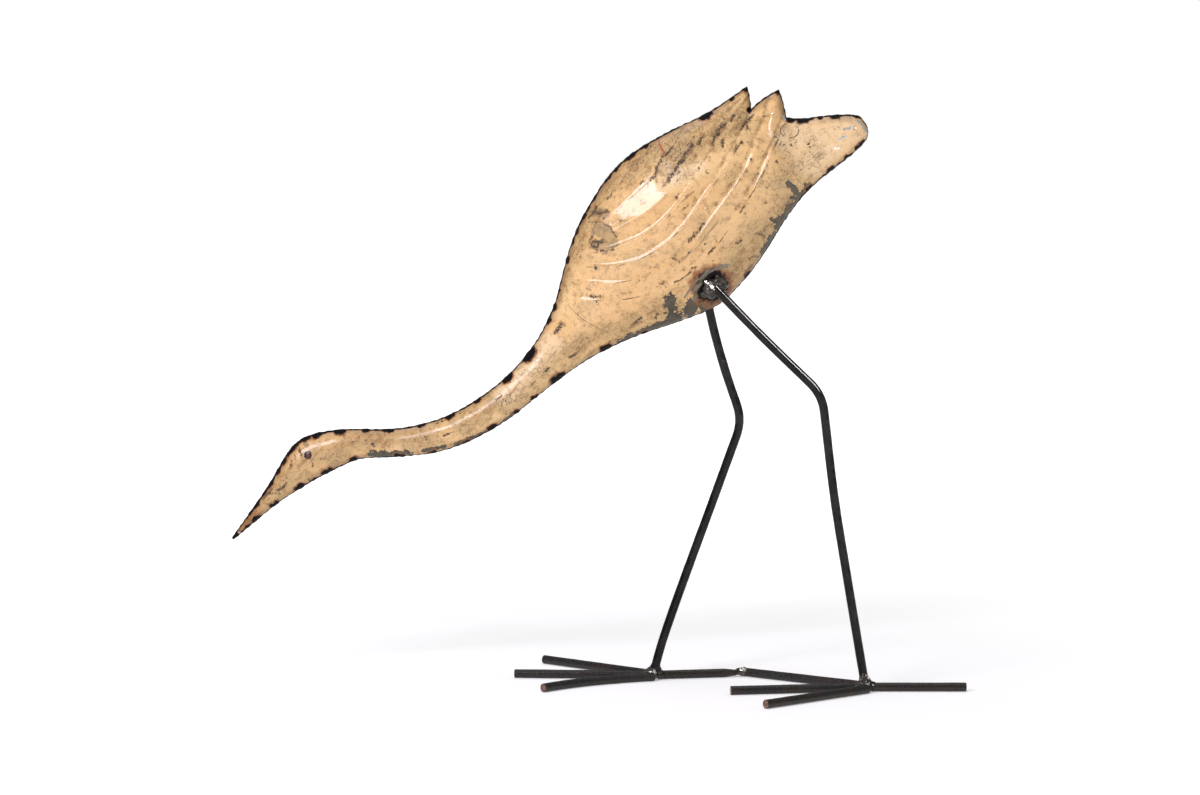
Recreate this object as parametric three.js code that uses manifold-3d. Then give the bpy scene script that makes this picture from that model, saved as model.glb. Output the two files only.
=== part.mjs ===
// A feeding heron for the garden, of sheet steel and round bar. Millimetres, Z up.
// The bird looks along -X with its head down, and its left side faces -Y.
// Two hammered half shells meet in the plane Y = 0 and are welded round the rim, so the closed body
// is modelled as two solid halves. Each half carries a leg of bent bar, welded on at the hip, and each
// leg stands among four toes of straight bar that lie on the ground.

import * as THREE from 'three';
import { mergeVertices } from 'three/addons/utils/BufferGeometryUtils.js';
import Module from 'manifold-3d';

const wasm = await Module();
wasm.setup();

// Driving dimensions
const BAR = 8;                   // diameter of the round bar of legs and toes
const GAP = 0.3;                 // space left between touching pieces
const LEG_SIDES = 10;
const LEG_STEPS = 44;
const TOE_SIDES = 12;
const BENT_TOE_STEPS = 5;
const FOOTPRINT_CENTRE_X = -1.5; // half way between the beak's tip and the end of the left back toe

// Rim of the body in the seam plane, as (x, z). Knots with the same number face each other
// across the neck, the wing's outer feather and the tail.
const NECK_LOW = [
  [-331, 133.8], [-328.9, 135.2], [-314, 147.9], [-287, 169.4], [-256, 188.6], [-236, 198.8], [-216, 206.9],
  [-186, 208.6], [-150, 212.4], [-118, 222.8], [-84, 241.9], [-58, 262.3], [-34, 281], [-12, 296],
];
const NECK_TOP = [
  [-331, 133.8], [-331.4, 136.6], [-319.8, 153], [-300, 181.5], [-277.5, 217.5], [-258, 229.2], [-229, 233.6],
  [-188, 233.9], [-158, 239], [-132, 248.4], [-103, 266], [-78, 287.3], [-56.5, 314.5], [-41.5, 345],
];
const WING_LOW = [
  [-12, 296], [8, 307], [37, 319.6], [73, 331.8], [106, 346], [131, 370.5], [149, 395], [165, 421], [180, 441.5],
];
const OUTER_FEATHER = [
  [-41.5, 345], [-20, 351.3], [15, 352], [53, 360.8], [85, 381], [110, 409.5], [132, 442.5], [150, 478.5],
  [166.3, 513.2],
];
const TAIL_LOW = [
  [180, 441.5], [193, 455], [207, 466.5], [220, 476.6], [230.5, 485.6], [237.6, 493.6], [239.6, 500.2],
];
const TAIL_TOP = [
  [166.3, 513.2], [180, 512.3], [198, 514.6], [218, 516], [231, 514.6], [237.7, 507], [239.6, 500.2],
];
const BACK = [
  [-41.5, 345], [-35.5, 366], [-26.9, 397.5], [-16.1, 423.9], [5.4, 458.5], [26.8, 480.1], [58.9, 499.7],
  [91.1, 515], [112.4, 528], [131.1, 541.3],
];
const SECOND_TIP = [159.7, 538.2];
const FIRST_NOTCH = [134.8, 520.8];
const TIP_BOWS = [0.6, 1.5, 0.5]; // how far the three edges of the feather tips bow outwards
const FRONT_KNOTS = 3.3;         // length of the rim, in knots, from which the feathers spring
const FRONT_REACH = 0.5;         // share of the wing's length that follows the shape of its front rim
const TIPS_REACH = 0.55;         // and of its tips

// Feathers: share of the way from the outer feather to the back, at even steps along the wing
const FEATHERS = [
  [0, 0, 0, 0, 0, 0],
  [0.17, 0.14, 0.14, 0.20, 0.19, 0.20],
  [0.34, 0.27, 0.30, 0.38, 0.42, 0.42],
  [0.44, 0.41, 0.45, 0.56, 0.70, 0.74],
  [0.56, 0.56, 0.59, 0.70, 0.83, 0.86],
  [0.62, 0.70, 0.81, 0.90, 0.94, 0.94],
  [1, 1, 1, 1, 1, 1],
];
const TIP_SHARE = 0.20;          // where the second tip stands on that way
const NOTCH_SHARE = 0.42;        // and the first notch
const STEP_HEIGHT = 2.3;         // rise from the groove under a feather's edge to its crest
const CREST_SHARE = 0.45;        // part of that rise that stands above the plain surface
const FLANK_SHARE = 0.2;         // part of a feather's width that its steep flank takes
const BELLY_FADE = 24;           // distance over which the outer crest runs out into the belly
const CROWN = 1.4;               // power by which a feather rises from its groove to the next crest
const EDGE_START = 0.03;         // share of the wing's length at which the feather edges begin
const EDGE_GROWTH = 0.12;        // and the share over which they grow to full height
const WHOLE_EDGES = 2;           // the outer edges that reach the tips
const FADE_START = 0.62;         // the inner ones fade out from this share of the length
const FADE_LENGTH = 0.3;         // over this share
const SETTLE = 7;                // relief is full where the half is at least this thick

// Thickness of a half: grows with the root of the mean distance to the rim, most at the body's middle
const SLIM = 3.45;
const SWELL = 2.1;
const SWELL_CENTRE = [60, 405];
const SWELL_REACH = 80;

// Number of facets
const NECK_COLUMNS = 30;
const WING_COLUMNS = 26;
const TAIL_COLUMNS = 13;
const ROWS = 8;
const RIM_STEPS = 5;
const WALK_STEPS = 400;          // short pieces by which a spline's length is measured
const NECK_EASE = 1.15;          // draws the neck's columns together at the beak

const BODY_COLOUR = 0xdcb886;
const BAR_COLOUR = 0x201d1a;
const TOE_COLOUR = 0x3a332c;
const WELD_COLOUR = 0x4b4640;

function splinePoint(knots, s) {
  const last = knots.length - 2;
  const i = Math.min(Math.max(Math.floor(s), 0), last);
  const f = s - i;
  const point = [];
  for (const axis of [0, 1]) {
    const b = knots[i][axis];
    const c = knots[i + 1][axis];
    const a = i > 0 ? knots[i - 1][axis] : 2 * b - c;
    const d = i < last ? knots[i + 2][axis] : 2 * c - b;
    const bend = (2 * a - 5 * b + 4 * c - d) * f + (3 * b - a - 3 * c + d) * f * f;
    point.push(0.5 * (2 * b + (c - a) * f + bend * f));
  }
  return point;
}

// A stretch of a spline walked at an even pace, u from 0 to 1
function evenWalk(knots, first, last) {
  const params = [];
  const lengths = [0];
  let previous = splinePoint(knots, first);
  for (let k = 0; k <= WALK_STEPS; k += 1) {
    const s = first + (last - first) * k / WALK_STEPS;
    const point = splinePoint(knots, s);
    params.push(s);
    if (k > 0) {
      lengths.push(lengths[k - 1] + Math.hypot(point[0] - previous[0], point[1] - previous[1]));
    }
    previous = point;
  }
  return (u) => {
    const wanted = u * lengths[WALK_STEPS];
    let k = 1;
    while (k < WALK_STEPS && lengths[k] < wanted) {
      k += 1;
    }
    const f = (wanted - lengths[k - 1]) / (lengths[k] - lengths[k - 1]);
    return splinePoint(knots, params[k - 1] + (params[k] - params[k - 1]) * f);
  };
}

const TOP = [...NECK_TOP, ...BACK.slice(1)];
const LOW = [...NECK_LOW, ...WING_LOW.slice(1), ...TAIL_LOW.slice(1)];
const FORK = NECK_TOP.length - 1;
const TOP_END = TOP.length - 1;
const walkOuter = evenWalk(OUTER_FEATHER, 0, OUTER_FEATHER.length - 1);
const walkBack = evenWalk(TOP, FORK + FRONT_KNOTS, TOP_END);
const walkFront = evenWalk(TOP, FORK, FORK + FRONT_KNOTS);

const mix = (p, q, f) => [p[0] + (q[0] - p[0]) * f, p[1] + (q[1] - p[1]) * f];

// An edge of a feather tip, bowed outwards a little
function bowed(p, q, f, bow) {
  const length = Math.hypot(q[0] - p[0], q[1] - p[1]);
  const out = 4 * bow * f * (1 - f) / length;
  const [x, z] = mix(p, q, f);
  return [x + out * (q[1] - p[1]), z - out * (q[0] - p[0])];
}

function zigzag(w) {
  if (w < TIP_SHARE) {
    return bowed(OUTER_FEATHER.at(-1), SECOND_TIP, w / TIP_SHARE, TIP_BOWS[0]);
  }
  if (w < NOTCH_SHARE) {
    return bowed(SECOND_TIP, FIRST_NOTCH, (w - TIP_SHARE) / (NOTCH_SHARE - TIP_SHARE), TIP_BOWS[1]);
  }
  return bowed(FIRST_NOTCH, TOP[TOP_END], (w - NOTCH_SHARE) / (1 - NOTCH_SHARE), TIP_BOWS[2]);
}

// The wing between outer feather and back (w), from front rim to tips (u)
function wingPoint(u, w) {
  const straight = mix(walkOuter(u), walkBack(u), w);
  const frontChord = mix(walkOuter(0), walkBack(0), w);
  const tipChord = mix(walkOuter(1), walkBack(1), w);
  const front = walkFront(w);
  const tips = zigzag(w);
  const nearFront = Math.max(1 - u / FRONT_REACH, 0) ** 3;
  const nearTips = Math.max(1 - (1 - u) / TIPS_REACH, 0) ** 3;
  return [0, 1].map((axis) => straight[axis]
    + (front[axis] - frontChord[axis]) * nearFront
    + (tips[axis] - tipChord[axis]) * nearTips);
}

function rimPolyline() {
  const points = [];
  for (let k = 0; k < (LOW.length - 1) * RIM_STEPS; k += 1) {
    points.push(splinePoint(LOW, k / RIM_STEPS));
  }
  for (let k = (TAIL_TOP.length - 1) * RIM_STEPS; k >= 0; k -= 1) {
    points.push(splinePoint(TAIL_TOP, k / RIM_STEPS));
  }
  const corners = [0, TIP_SHARE, NOTCH_SHARE, 1];
  for (let edge = 0; edge < 3; edge += 1) {
    for (let k = 1; k <= RIM_STEPS; k += 1) {
      points.push(zigzag(corners[edge] + (corners[edge + 1] - corners[edge]) * k / RIM_STEPS));
    }
  }
  for (let k = TOP_END * RIM_STEPS - 1; k > 0; k -= 1) {
    points.push(splinePoint(TOP, k / RIM_STEPS));
  }
  return points;
}

const RIM = rimPolyline();

// Mean distance to the whole rim: each straight piece of the rim adds the integral of one over the
// distance cubed, so near pieces count most and the result is smooth everywhere inside
function meanDistance(x, z) {
  let sum = 0;
  for (let k = 0; k < RIM.length; k += 1) {
    const [ax, az] = RIM[k];
    const [bx, bz] = RIM[(k + 1) % RIM.length];
    const length = Math.hypot(bx - ax, bz - az);
    const along = ((x - ax) * (bx - ax) + (z - az) * (bz - az)) / length;
    const off = Math.max(Math.abs((x - ax) * (bz - az) - (z - az) * (bx - ax)) / length, 1e-4);
    const ahead = length - along;
    sum += (ahead / Math.hypot(off, ahead) + along / Math.hypot(off, along)) / (off * off);
  }
  return Math.sqrt(2 / sum);
}

function plainHeight(x, z) {
  const far = Math.hypot(x - SWELL_CENTRE[0], z - SWELL_CENTRE[1]) / SWELL_REACH;
  return (SLIM + SWELL * Math.exp(-far * far / 2)) * Math.sqrt(meanDistance(x, z));
}

const smooth = (f) => {
  const c = Math.min(Math.max(f, 0), 1);
  return c * c * (3 - 2 * c);
};

// Height of feather edge number k at u: it starts a little way in from the front rim,
// and the inner feathers run out before the tips
function edgeStrength(k, u) {
  const begin = smooth((u - EDGE_START) / EDGE_GROWTH);
  const end = k < WHOLE_EDGES ? 1 : 1 - smooth((u - FADE_START) / FADE_LENGTH);
  return begin * end;
}

// Saw-tooth across the feathers: band is the whole number of the feather, f the share of its width
function featherRelief(band, f, u) {
  const inner = edgeStrength(band, u) * STEP_HEIGHT;
  const outer = band < FEATHERS.length - 2 ? edgeStrength(band + 1, u) * STEP_HEIGHT : 0;
  const crest = inner * CREST_SHARE;
  const groove = inner * (CREST_SHARE - 1);
  if (f < FLANK_SHARE) {
    return crest + (groove - crest) * smooth(f / FLANK_SHARE);
  }
  return groove + (outer * CREST_SHARE - groove) * ((f - FLANK_SHARE) / (1 - FLANK_SHARE)) ** CROWN;
}

function featherShare(number, u) {
  const shares = FEATHERS[number].map((share) => [share, 0]);
  return splinePoint(shares, u * (shares.length - 1))[0];
}

const settle = (height) => smooth(height / SETTLE);
const bunched = (f) => (1 - Math.cos(Math.PI * f)) / 2;

// One half of the body: side -1 is the left one
function bodyHalf(side) {
  const positions = [];
  const numbers = new Map();
  const indices = [];
  const addVertex = (point, height) => {
    const key = `${point[0].toFixed(3)} ${point[1].toFixed(3)} ${height > 0 ? 'out' : 'rim'}`;
    if (!numbers.has(key)) {
      numbers.set(key, positions.length / 3);
      positions.push(point[0], side * (GAP / 2 + height), point[1]);
    }
    return numbers.get(key);
  };
  const addTriangle = (a, b, c) => {
    if (a !== b && b !== c && c !== a) {
      indices.push(...(side < 0 ? [a, b, c] : [a, c, b]));
    }
  };
  const addGrid = (grid) => {
    for (let i = 0; i + 1 < grid.length; i += 1) {
      for (let j = 0; j + 1 < grid[i].length; j += 1) {
        const [a, b, c, d] = [grid[i][j], grid[i + 1][j], grid[i + 1][j + 1], grid[i][j + 1]];
        if (i === 0) {
          addTriangle(a, b, d);
          addTriangle(b, c, d);
        } else {
          addTriangle(a, b, c);
          addTriangle(a, c, d);
        }
      }
    }
  };

  // Beak, neck, belly and tail: columns from the lower rim up to the upper rim or the outer feather
  const columns = [];
  for (let i = 0; i < NECK_COLUMNS; i += 1) {
    const s = FORK * (i / NECK_COLUMNS) ** NECK_EASE;
    columns.push({ low: splinePoint(LOW, s), top: splinePoint(TOP, s), crest: 0 });
  }
  const wingUs = [];
  for (let i = 0; i <= WING_COLUMNS; i += 1) {
    wingUs.push(0.5 * (i / WING_COLUMNS) + 0.5 * bunched(i / WING_COLUMNS));
  }
  const walkBelly = evenWalk(LOW, FORK, FORK + WING_LOW.length - 1);
  for (const u of wingUs) {
    columns.push({ low: walkBelly(u), top: walkOuter(u), crest: edgeStrength(0, u), onFeather: u > 0 && u < 1 });
  }
  const tailStart = FORK + WING_LOW.length - 1;
  for (let i = 1; i <= TAIL_COLUMNS; i += 1) {
    const s = (TAIL_TOP.length - 1) * Math.sin(Math.PI / 2 * i / TAIL_COLUMNS);
    columns.push({ low: splinePoint(LOW, tailStart + s), top: splinePoint(TAIL_TOP, s), crest: 0 });
  }
  const belly = columns.map((column) => {
    const span = Math.hypot(column.top[0] - column.low[0], column.top[1] - column.low[1]);
    const row = [];
    for (let j = 0; j <= ROWS; j += 1) {
      const f = bunched(j / ROWS);
      const point = mix(column.low, column.top, f);
      const onRim = j === 0 || (j === ROWS && !column.onFeather) || span < 0.01;
      const height = onRim ? 0 : plainHeight(...point);
      const fall = Math.max(1 - (1 - f) * span / BELLY_FADE, 0) ** 2;
      const crest = column.crest * STEP_HEIGHT * CREST_SHARE * fall * settle(height);
      row.push(addVertex(point, height + crest));
    }
    return row;
  });
  addGrid(belly);

  // Wing: one strip of facets for each feather, with its steep flank first
  const bandShares = [0, FLANK_SHARE, 0.5, 0.8];
  const wing = wingUs.map((u, i) => {
    const row = [];
    for (let band = 0; band + 1 < FEATHERS.length; band += 1) {
      const from = featherShare(band, u);
      const to = featherShare(band + 1, u);
      for (const f of bandShares) {
        const point = wingPoint(u, from + (to - from) * f);
        const onRim = i === 0 || i === WING_COLUMNS;
        const height = onRim ? 0 : plainHeight(...point);
        row.push(addVertex(point, height + featherRelief(band, f, u) * settle(height)));
      }
    }
    row.push(addVertex(wingPoint(u, 1), 0));
    return row;
  });
  addGrid(wing);

  // Flat back in the seam plane
  const loop = [
    ...belly.map((row) => row[0]),
    ...belly.slice(NECK_COLUMNS + WING_COLUMNS).map((row) => row[ROWS]).reverse(),
    ...wing[WING_COLUMNS],
    ...wing.map((row) => row.at(-1)).reverse(),
    ...[...wing[0]].reverse(),
    ...belly.slice(0, NECK_COLUMNS).map((row) => row[ROWS]).reverse(),
  ].filter((vertex, k, all) => vertex !== all[(k + all.length - 1) % all.length]);
  const contour = loop.map((vertex) => new THREE.Vector2(positions[3 * vertex], positions[3 * vertex + 2]));
  for (const [a, b, c] of THREE.ShapeUtils.triangulateShape(contour, [])) {
    addTriangle(loop[a], loop[c], loop[b]);
  }

  const geometry = new THREE.BufferGeometry();
  geometry.setAttribute('position', new THREE.Float32BufferAttribute(positions, 3));
  geometry.setIndex(indices);
  geometry.computeVertexNormals();
  return geometry;
}

// Cross-section of the bar: a polygon with flats, its width across them the bar's diameter
function barSection(sides, spare) {
  const radius = (BAR / 2 + spare) / Math.cos(Math.PI / sides);
  const corners = [];
  for (let k = 0; k < sides; k += 1) {
    const angle = 2 * Math.PI * (k + 0.5) / sides;
    corners.push(new THREE.Vector2(radius * Math.cos(angle), radius * Math.sin(angle)));
  }
  return new THREE.Shape(corners);
}

// A straight bar between two points, lying with one flat downwards
function straightBar(from, to, spare) {
  const direction = new THREE.Vector3().subVectors(to, from);
  const length = direction.length() + 2 * spare;
  direction.normalize();
  const across = new THREE.Vector3(direction.y, -direction.x, 0).normalize();
  const up = new THREE.Vector3().crossVectors(direction, across);
  const geometry = new THREE.ExtrudeGeometry(barSection(TOE_SIDES, spare), { depth: length, bevelEnabled: false });
  geometry.applyMatrix4(new THREE.Matrix4().makeBasis(across, up, direction));
  geometry.translate(from.x - spare * direction.x, from.y - spare * direction.y, from.z - spare * direction.z);
  return geometry;
}

// Legs, as (x, z): the hip and points down the thigh, the corner of the bend at the knee, and points down
// the slightly bowed shank to the ground. Then how far knee and foot stand out from the seam plane.
const LEGS = {
  left: {
    side: -1,
    thigh: [[101.5, 363.5], [144.2, 319.6]],
    knee: [198, 267.5],
    shank: [[209.8, 173.2], [221.8, 101], [238.9, 1.4]],
    spread: [28.5, 30],
  },
  right: {
    side: 1,
    thigh: [[94.5, 361.5], [103.2, 321.3], [113.5, 284.9]],
    knee: [129.2, 238.6],
    shank: [[106.4, 174.9], [57.5, 36.6], [48.1, 1.9]],
    spread: [28.5, 30],
  },
};
const STAND_OFF = 1.2;           // the weld holds the end of the leg this far off the body
const BEND = 15;                 // length of straight bar on each side that the bend at the knee takes up

const hipSpread = (leg) => plainHeight(...leg.thigh[0]) + BAR / 2 + STAND_OFF;

function legPath(leg) {
  const hipZ = leg.thigh[0][1];
  const kneeZ = leg.knee[1];
  const footZ = leg.shank.at(-1)[1];
  const [kneeOut, footOut] = leg.spread;
  const place = ([x, z]) => {
    const out = z < kneeZ
      ? kneeOut + (footOut - kneeOut) * (kneeZ - z) / (kneeZ - footZ)
      : kneeOut + (hipSpread(leg) - kneeOut) * (z - kneeZ) / (hipZ - kneeZ);
    return new THREE.Vector3(x, leg.side * out, z);
  };
  const thigh = leg.thigh.map(place);
  const knee = place(leg.knee);
  const shank = leg.shank.map(place);
  const above = knee.clone().add(thigh.at(-1).clone().sub(knee).setLength(BEND));
  const below = knee.clone().add(shank[0].clone().sub(knee).setLength(BEND));
  const path = new THREE.CurvePath();
  path.add(new THREE.CatmullRomCurve3([...thigh, above], false, 'centripetal'));
  path.add(new THREE.QuadraticBezierCurve3(above, knee, below));
  path.add(new THREE.CatmullRomCurve3([below, ...shank], false, 'centripetal'));
  return path;
}

function legBar(leg, spare) {
  const section = barSection(LEG_SIDES, spare);
  return new THREE.ExtrudeGeometry(section, {
    steps: LEG_STEPS,
    bevelEnabled: false,
    extrudePath: legPath(leg),
  });
}

// Toes: tip and root of each bar's axis on the ground; the third point is the bend of the bent one
const TOES = {
  left_outer_toe: { tip: [144.5, -113], root: [240.2, -39.2] },
  left_middle_toe: { tip: [116.6, -47.3], root: [232.9, -30.8] },
  left_inner_toe: { tip: [130, 48.3], root: [235.6, -22.2] },
  left_back_toe: { tip: [329.1, -30], root: [243.9, -30] },
  right_outer_toe: { tip: [-52.6, 113], root: [43, 38.5] },
  right_middle_toe: { tip: [-78.6, 37.9], root: [43, 30.6] },
  right_inner_toe: { tip: [-51.1, -35], bend: [-12, 4], root: [49.5, 21.6] },
  right_back_toe: { tip: [126, 43], root: [55.2, 31.2] },
};
const GROUND_END = 0.62;         // the right back toe is ground down to this share of its width
const GROUND_LENGTH = 12;        // over this length
const onGround = ([x, y]) => new THREE.Vector3(x, y, BAR / 2);

function toeBar(toe, spare) {
  if (!toe.bend) {
    return straightBar(onGround(toe.root), onGround(toe.tip), spare);
  }
  const path = new THREE.QuadraticBezierCurve3(onGround(toe.root), onGround(toe.bend), onGround(toe.tip));
  const section = barSection(TOE_SIDES, spare);
  return new THREE.ExtrudeGeometry(section, { steps: BENT_TOE_STEPS, bevelEnabled: false, extrudePath: path });
}

function groundToe(toe) {
  const root = onGround(toe.root);
  const tip = onGround(toe.tip);
  const shoulder = tip.clone().add(root.clone().sub(tip).setLength(GROUND_LENGTH));
  const bar = straightBar(root, shoulder, 0);
  const end = straightBar(shoulder, tip, 0);
  const axis = tip.clone().sub(root).normalize();
  const narrow = (geometry, first, last) => {
    const at = geometry.attributes.position;
    for (let k = 0; k < at.count; k += 1) {
      const point = new THREE.Vector3().fromBufferAttribute(at, k);
      const along = point.clone().sub(first).dot(axis);
      const share = Math.min(Math.max(along / last.distanceTo(first), 0), 1);
      const centre = first.clone().addScaledVector(axis, along);
      const size = 1 + (GROUND_END - 1) * share;
      point.sub(centre).multiplyScalar(size).add(centre);
      at.setXYZ(k, point.x, point.y, point.z);
    }
    return geometry;
  };
  return fromSolid(toSolid(bar).add(toSolid(narrow(end, shoulder, tip))));
}

function toSolid(geometry) {
  const plain = geometry.clone();
  plain.deleteAttribute('normal');
  plain.deleteAttribute('uv');
  const merged = plain.index ? plain : mergeVertices(plain, 1e-4);
  return new wasm.Manifold(new wasm.Mesh({
    numProp: 3,
    vertProperties: Float32Array.from(merged.attributes.position.array),
    triVerts: Uint32Array.from(merged.index.array),
  }));
}

function fromSolid(solid) {
  const mesh = solid.getMesh();
  const geometry = new THREE.BufferGeometry();
  geometry.setAttribute('position', new THREE.Float32BufferAttribute(mesh.vertProperties, 3));
  geometry.setIndex(new THREE.Uint32BufferAttribute(mesh.triVerts, 1));
  geometry.computeVertexNormals();
  return geometry;
}

// A lump of weld: a ball with different reaches up, down and sideways and a few soft humps
function weldLump(centre, reach, humps) {
  const ball = mergeVertices(stripped(new THREE.IcosahedronGeometry(1, reach.detail)), 1e-4);
  const at = ball.attributes.position;
  for (let k = 0; k < at.count; k += 1) {
    const [x, y, z] = [at.getX(k), at.getY(k), at.getZ(k)];
    const hump = 1 + humps * Math.sin(3.1 * x + 1.3 * z) * Math.cos(2.7 * y - 1.9 * z + 0.6);
    at.setXYZ(
      k,
      centre[0] + x * hump * reach.x,
      centre[1] + y * hump * reach.y,
      centre[2] + z * hump * (z > 0 ? reach.up : reach.down),
    );
  }
  return ball;
}

function stripped(geometry) {
  geometry.deleteAttribute('normal');
  geometry.deleteAttribute('uv');
  return geometry;
}

const bird = new THREE.Group();
bird.position.x = -FOOTPRINT_CENTRE_X;

function addPiece(name, geometry, colour, roughness, metalness) {
  const material = new THREE.MeshStandardMaterial({ color: colour, roughness, metalness });
  const mesh = new THREE.Mesh(geometry, material);
  mesh.name = name;
  bird.add(mesh);
  return mesh;
}

const halves = {};
for (const [name, side] of [['left', -1], ['right', 1]]) {
  halves[name] = bodyHalf(side);
  addPiece(`${name}_body_half`, halves[name], BODY_COLOUR, 0.3, 0.1);
  addPiece(`${name}_leg`, legBar(LEGS[name], 0), BAR_COLOUR, 0.3, 0.4);
}
for (const [name, toe] of Object.entries(TOES)) {
  const geometry = name === 'right_back_toe' ? groundToe(toe) : toeBar(toe, 0);
  addPiece(name, geometry, TOE_COLOUR, 0.45, 0.6);
}

const toeNames = Object.keys(TOES);
for (const [name, leg] of Object.entries(LEGS)) {
  const bar = toSolid(legBar(leg, GAP));

  // Hip weld, over the end of the leg and against the body
  const hip = [leg.thigh[0][0] + 2, leg.side * (hipSpread(leg) - 2.5), leg.thigh[0][1] - 2];
  const hipReach = { x: 10, y: 6.5, up: 9, down: 9, detail: 2 };
  const body = toSolid(halves[name].clone().translate(0, leg.side * GAP, 0));
  const hipWeld = toSolid(weldLump(hip, hipReach, 0.12)).subtract(bar).subtract(body);
  addPiece(`${name}_hip_weld`, fromSolid(hipWeld), WELD_COLOUR, 0.4, 0.8);

  // Ankle weld, a collar round the foot of the leg that sits on its four toes
  const foot = leg.shank.at(-1)[0];
  const ankle = [foot - 1, leg.side * leg.spread[1], 9];
  const ankleReach = { x: 8.6, y: 8.6, up: 11, down: 5, detail: 2 };
  let ankleWeld = toSolid(weldLump(ankle, ankleReach, 0.1)).subtract(bar);
  for (const toeName of toeNames.filter((toe) => toe.startsWith(name))) {
    ankleWeld = ankleWeld.subtract(toSolid(toeBar(TOES[toeName], GAP)));
  }
  addPiece(`${name}_ankle_weld`, fromSolid(ankleWeld), WELD_COLOUR, 0.4, 0.8);
}

// The small weld that ties the right back toe to the end of the left inner toe
const tie = [128, 45.2, 5.2];
let tieWeld = toSolid(weldLump(tie, { x: 5.2, y: 5.2, up: 4.2, down: 3.6, detail: 1 }, 0.1));
for (const toeName of ['left_inner_toe', 'right_back_toe']) {
  tieWeld = tieWeld.subtract(toSolid(toeBar(TOES[toeName], GAP)));
}
addPiece('toe_tie_weld', fromSolid(tieWeld), WELD_COLOUR, 0.4, 0.8);

export default bird;
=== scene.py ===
# %% [markdown]
# A feeding heron for the garden. The real bird is made of two hammered halves of enamelled sheet
# steel, welded together round the rim, and of ten lengths of 8 mm round bar for its legs and toes.
# The CAD frame holds every piece at its real size and place. Here each plain solid is replaced by a
# fine surface with the finish that years and the welder's torch have given it.

# %% The frame
import math

import bpy
import numpy as np
from mathutils import Matrix


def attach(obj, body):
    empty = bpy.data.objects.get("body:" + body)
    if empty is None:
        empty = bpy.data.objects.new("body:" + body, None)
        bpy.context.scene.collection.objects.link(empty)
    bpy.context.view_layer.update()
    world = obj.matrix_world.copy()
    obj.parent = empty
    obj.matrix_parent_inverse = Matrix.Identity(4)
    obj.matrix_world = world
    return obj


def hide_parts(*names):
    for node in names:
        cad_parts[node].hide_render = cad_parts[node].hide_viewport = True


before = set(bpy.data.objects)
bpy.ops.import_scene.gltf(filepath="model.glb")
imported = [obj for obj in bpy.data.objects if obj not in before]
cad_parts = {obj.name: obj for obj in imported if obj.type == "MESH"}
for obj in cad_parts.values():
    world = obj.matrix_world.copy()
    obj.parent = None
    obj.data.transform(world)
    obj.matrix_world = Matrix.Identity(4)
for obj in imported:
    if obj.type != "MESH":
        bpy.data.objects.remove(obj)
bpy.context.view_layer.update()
MM = 0.001

# %% [markdown]
# The camera comes first, because everything is seen through it. The bird stands about 3 m away and
# the camera looks down on it by a few degrees, so that the toes spread out and the far foot stands
# higher in the picture than the near one. A long lens from that distance keeps the outline true.

# %% Camera
CAMERA_AWAY = 3.0
CAMERA_PITCH = math.radians(5.5)
CAMERA_LENS = 100.0
CAMERA_SENSOR = 36.0
CAMERA_SEES = 60.0
LOOKED_AT = np.array([0.0015, 0.0, 0.2624])

camera_data = bpy.data.cameras.new("camera")
camera_data.lens = CAMERA_LENS
camera_data.sensor_width = CAMERA_SENSOR
camera_data.clip_end = CAMERA_SEES
camera = bpy.data.objects.new("camera", camera_data)
back_and_up = np.array([0, -math.cos(CAMERA_PITCH), math.sin(CAMERA_PITCH)])
camera.location = LOOKED_AT + CAMERA_AWAY * back_and_up
camera.rotation_euler = (math.pi / 2 - CAMERA_PITCH, 0, 0)
bpy.context.scene.collection.objects.link(camera)
bpy.context.scene.camera = camera
print("camera at", [round(x, 3) for x in camera.location])

# %% [markdown]
# The body's outline is a handful of knots in the seam plane, with smooth curves through them. They
# are the same knots as in the CAD model, in millimetres. Knots with the same number face each other
# across the neck, across the belly and across the tail, so a surface can be stretched between them.
# When a mesh is filled, all of it is moved by SHIFT_X, which brings the bird to the middle of the frame.

# %% Knots of the rim
NECK_LOW = np.array([
    (-331, 133.8), (-328.9, 135.2), (-314, 147.9), (-287, 169.4), (-256, 188.6), (-236, 198.8),
    (-216, 206.9), (-186, 208.6), (-150, 212.4), (-118, 222.8), (-84, 241.9), (-58, 262.3),
    (-34, 281), (-12, 296)])
NECK_TOP = np.array([
    (-331, 133.8), (-331.4, 136.6), (-319.8, 153), (-300, 181.5), (-277.5, 217.5), (-258, 229.2),
    (-229, 233.6), (-188, 233.9), (-158, 239), (-132, 248.4), (-103, 266), (-78, 287.3),
    (-56.5, 314.5), (-41.5, 345)])
WING_LOW = np.array([
    (-12, 296), (8, 307), (37, 319.6), (73, 331.8), (106, 346), (131, 370.5), (149, 395),
    (165, 421), (180, 441.5)])
OUTER_FEATHER = np.array([
    (-41.5, 345), (-20, 351.3), (15, 352), (53, 360.8), (85, 381), (110, 409.5), (132, 442.5),
    (150, 478.5), (166.3, 513.2)])
TAIL_LOW = np.array([
    (180, 441.5), (193, 455), (207, 466.5), (220, 476.6), (230.5, 485.6), (237.6, 493.6),
    (239.6, 500.2)])
TAIL_TOP = np.array([
    (166.3, 513.2), (180, 512.3), (198, 514.6), (218, 516), (231, 514.6), (237.7, 507),
    (239.6, 500.2)])
BACK = np.array([
    (-41.5, 345), (-35.5, 366), (-26.9, 397.5), (-16.1, 423.9), (5.4, 458.5), (26.8, 480.1),
    (58.9, 499.7), (91.1, 515), (112.4, 528), (131.1, 541.3)])
SECOND_TIP = np.array([159.7, 538.2])
FIRST_NOTCH = np.array([134.8, 520.8])
TIP_BOWS = (0.6, 1.5, 0.5)
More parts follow.
